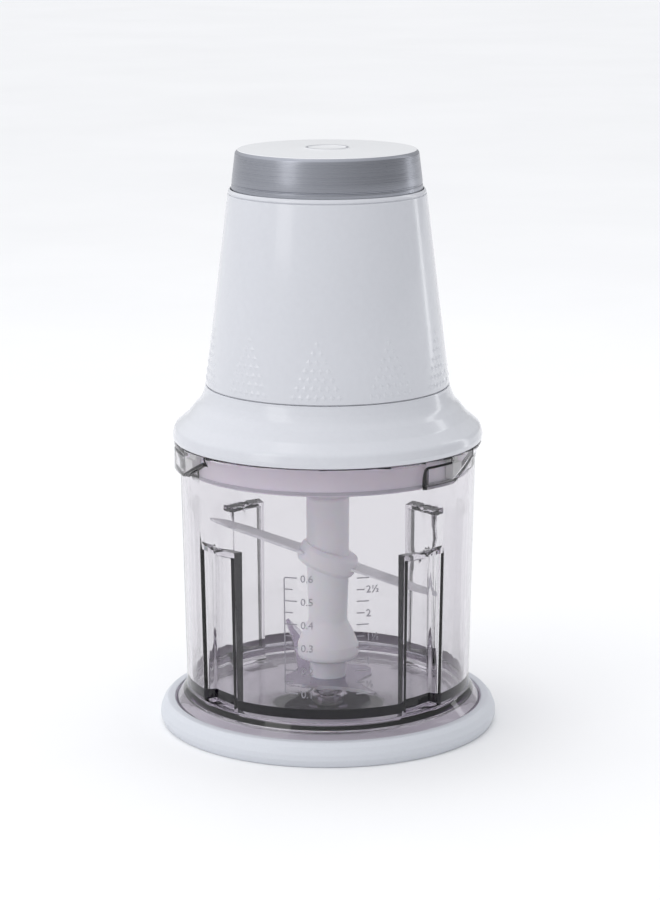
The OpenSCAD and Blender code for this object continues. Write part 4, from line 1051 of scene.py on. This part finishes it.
def fillFlat(bm, flat, ring, share, arm):
    # Each arm is one face, and the plate is filled between the bend lines and the hole; these flat faces take
    # the second slot, a darker purple steel that is painted shade and a painted reflection of the bowl floor
    def edgesOf(loop):
        return [bm.edges.get(pair) or bm.edges.new(pair) for pair in zip(loop, loop[1:] + loop[:1])]
    faces = [bm.faces.new(flat[first:first + arm + 1]) for first in (0, share)]
    plate = flat[arm:share + 1] + flat[share + arm:] + flat[:1]
    filled = bmesh.ops.triangle_fill(bm, use_beauty=True, edges=edgesOf(plate) + edgesOf(ring))["geom"]
    for face in faces + [f for f in filled if isinstance(f, bmesh.types.BMFace)]:
        face.material_index = 1


def makeLowerBlade():
    # The sickle is cut flat, ground along its leading edges, then bent up at both arms
    outline, share, arm = lowerOutline()
    count, thick, thin = len(outline), blades["thick"] / 2, blades["keen"] / 2
    keen = [i % share in (0, 1, 2, 3) for i in range(count)]
    inward = []
    for i, point in enumerate(outline):
        along = (Vector(outline[(i + 1) % count]) - Vector(outline[i - 1])).normalized()
        depth = blades["ground"] * (0.8 if i % share in (0, 3) else 1) if keen[i] else 0
        inward.append(Vector(point) + Vector((-along.y, along.x)) * depth)
    turns = [2 * pi * k / blades["holeSides"] for k in range(blades["holeSides"])]
    rim = [(blades["hole"] * cos(a), blades["hole"] * sin(a)) for a in turns]
    seat = Matrix.Translation((0, 0, blades["lowerZ"] * mm))
    seat = seat @ Matrix.Rotation(radians(blades["lowerTurn"]), 4, "Z")
    bm = bmesh.new()

    def put(point, z):
        return bm.verts.new(seat @ (bentUp(point[0], point[1], z + thick) * mm))
    sides = []
    for side in (1, -1):
        flat = [put(p, side * thick) for p in inward]
        edge = [put(p, side * thin) if ground else v for p, v, ground in zip(outline, flat, keen)]
        ring = [put(p, side * thick) for p in rim]
        fillFlat(bm, flat, ring, share, arm)
        sides.append((flat, edge, ring))
    (flatTop, edgeTop, ringTop), (flatLow, edgeLow, ringLow) = sides
    groundWalls(bm, [flatTop, edgeTop, edgeLow, flatLow])
    band(bm, ringTop, ringLow)
    piece = place(finishMesh(bm, "lowerBlade", 12), "blades", "blade_steel", ["lower_blade"])
    # The flat faces of the lower blade take painted shade and a painted purple reflection of the bowl floor
    piece.data.materials.append(materials["paintedShadeSteel"])


def paintNodes():
    for name, piece in nodes.items():
        piece.data.materials.clear()
        piece.data.materials.append(materials[slotOf[name]])
    print("nodes painted:", len(nodes))


makeCamera()
makeLight()
print("camera and lamps set:", len(light["lamps"]), "lamps and a dome")
makeFinishes()
print("finishes made:", len(materials))
makeFloor()
paintNodes()
makeBase()
print("base made")
makeSkirt()
cutVents(makeHousing())
makeDiamonds()
makeCap()
print("head made")
makeBowl()
makeMarks()
print("bowl and its marks made")
makeHub()
makeUpperBlade()
makeLowerBlade()
print("blade set made")

scene.view_settings.view_transform = "Standard"
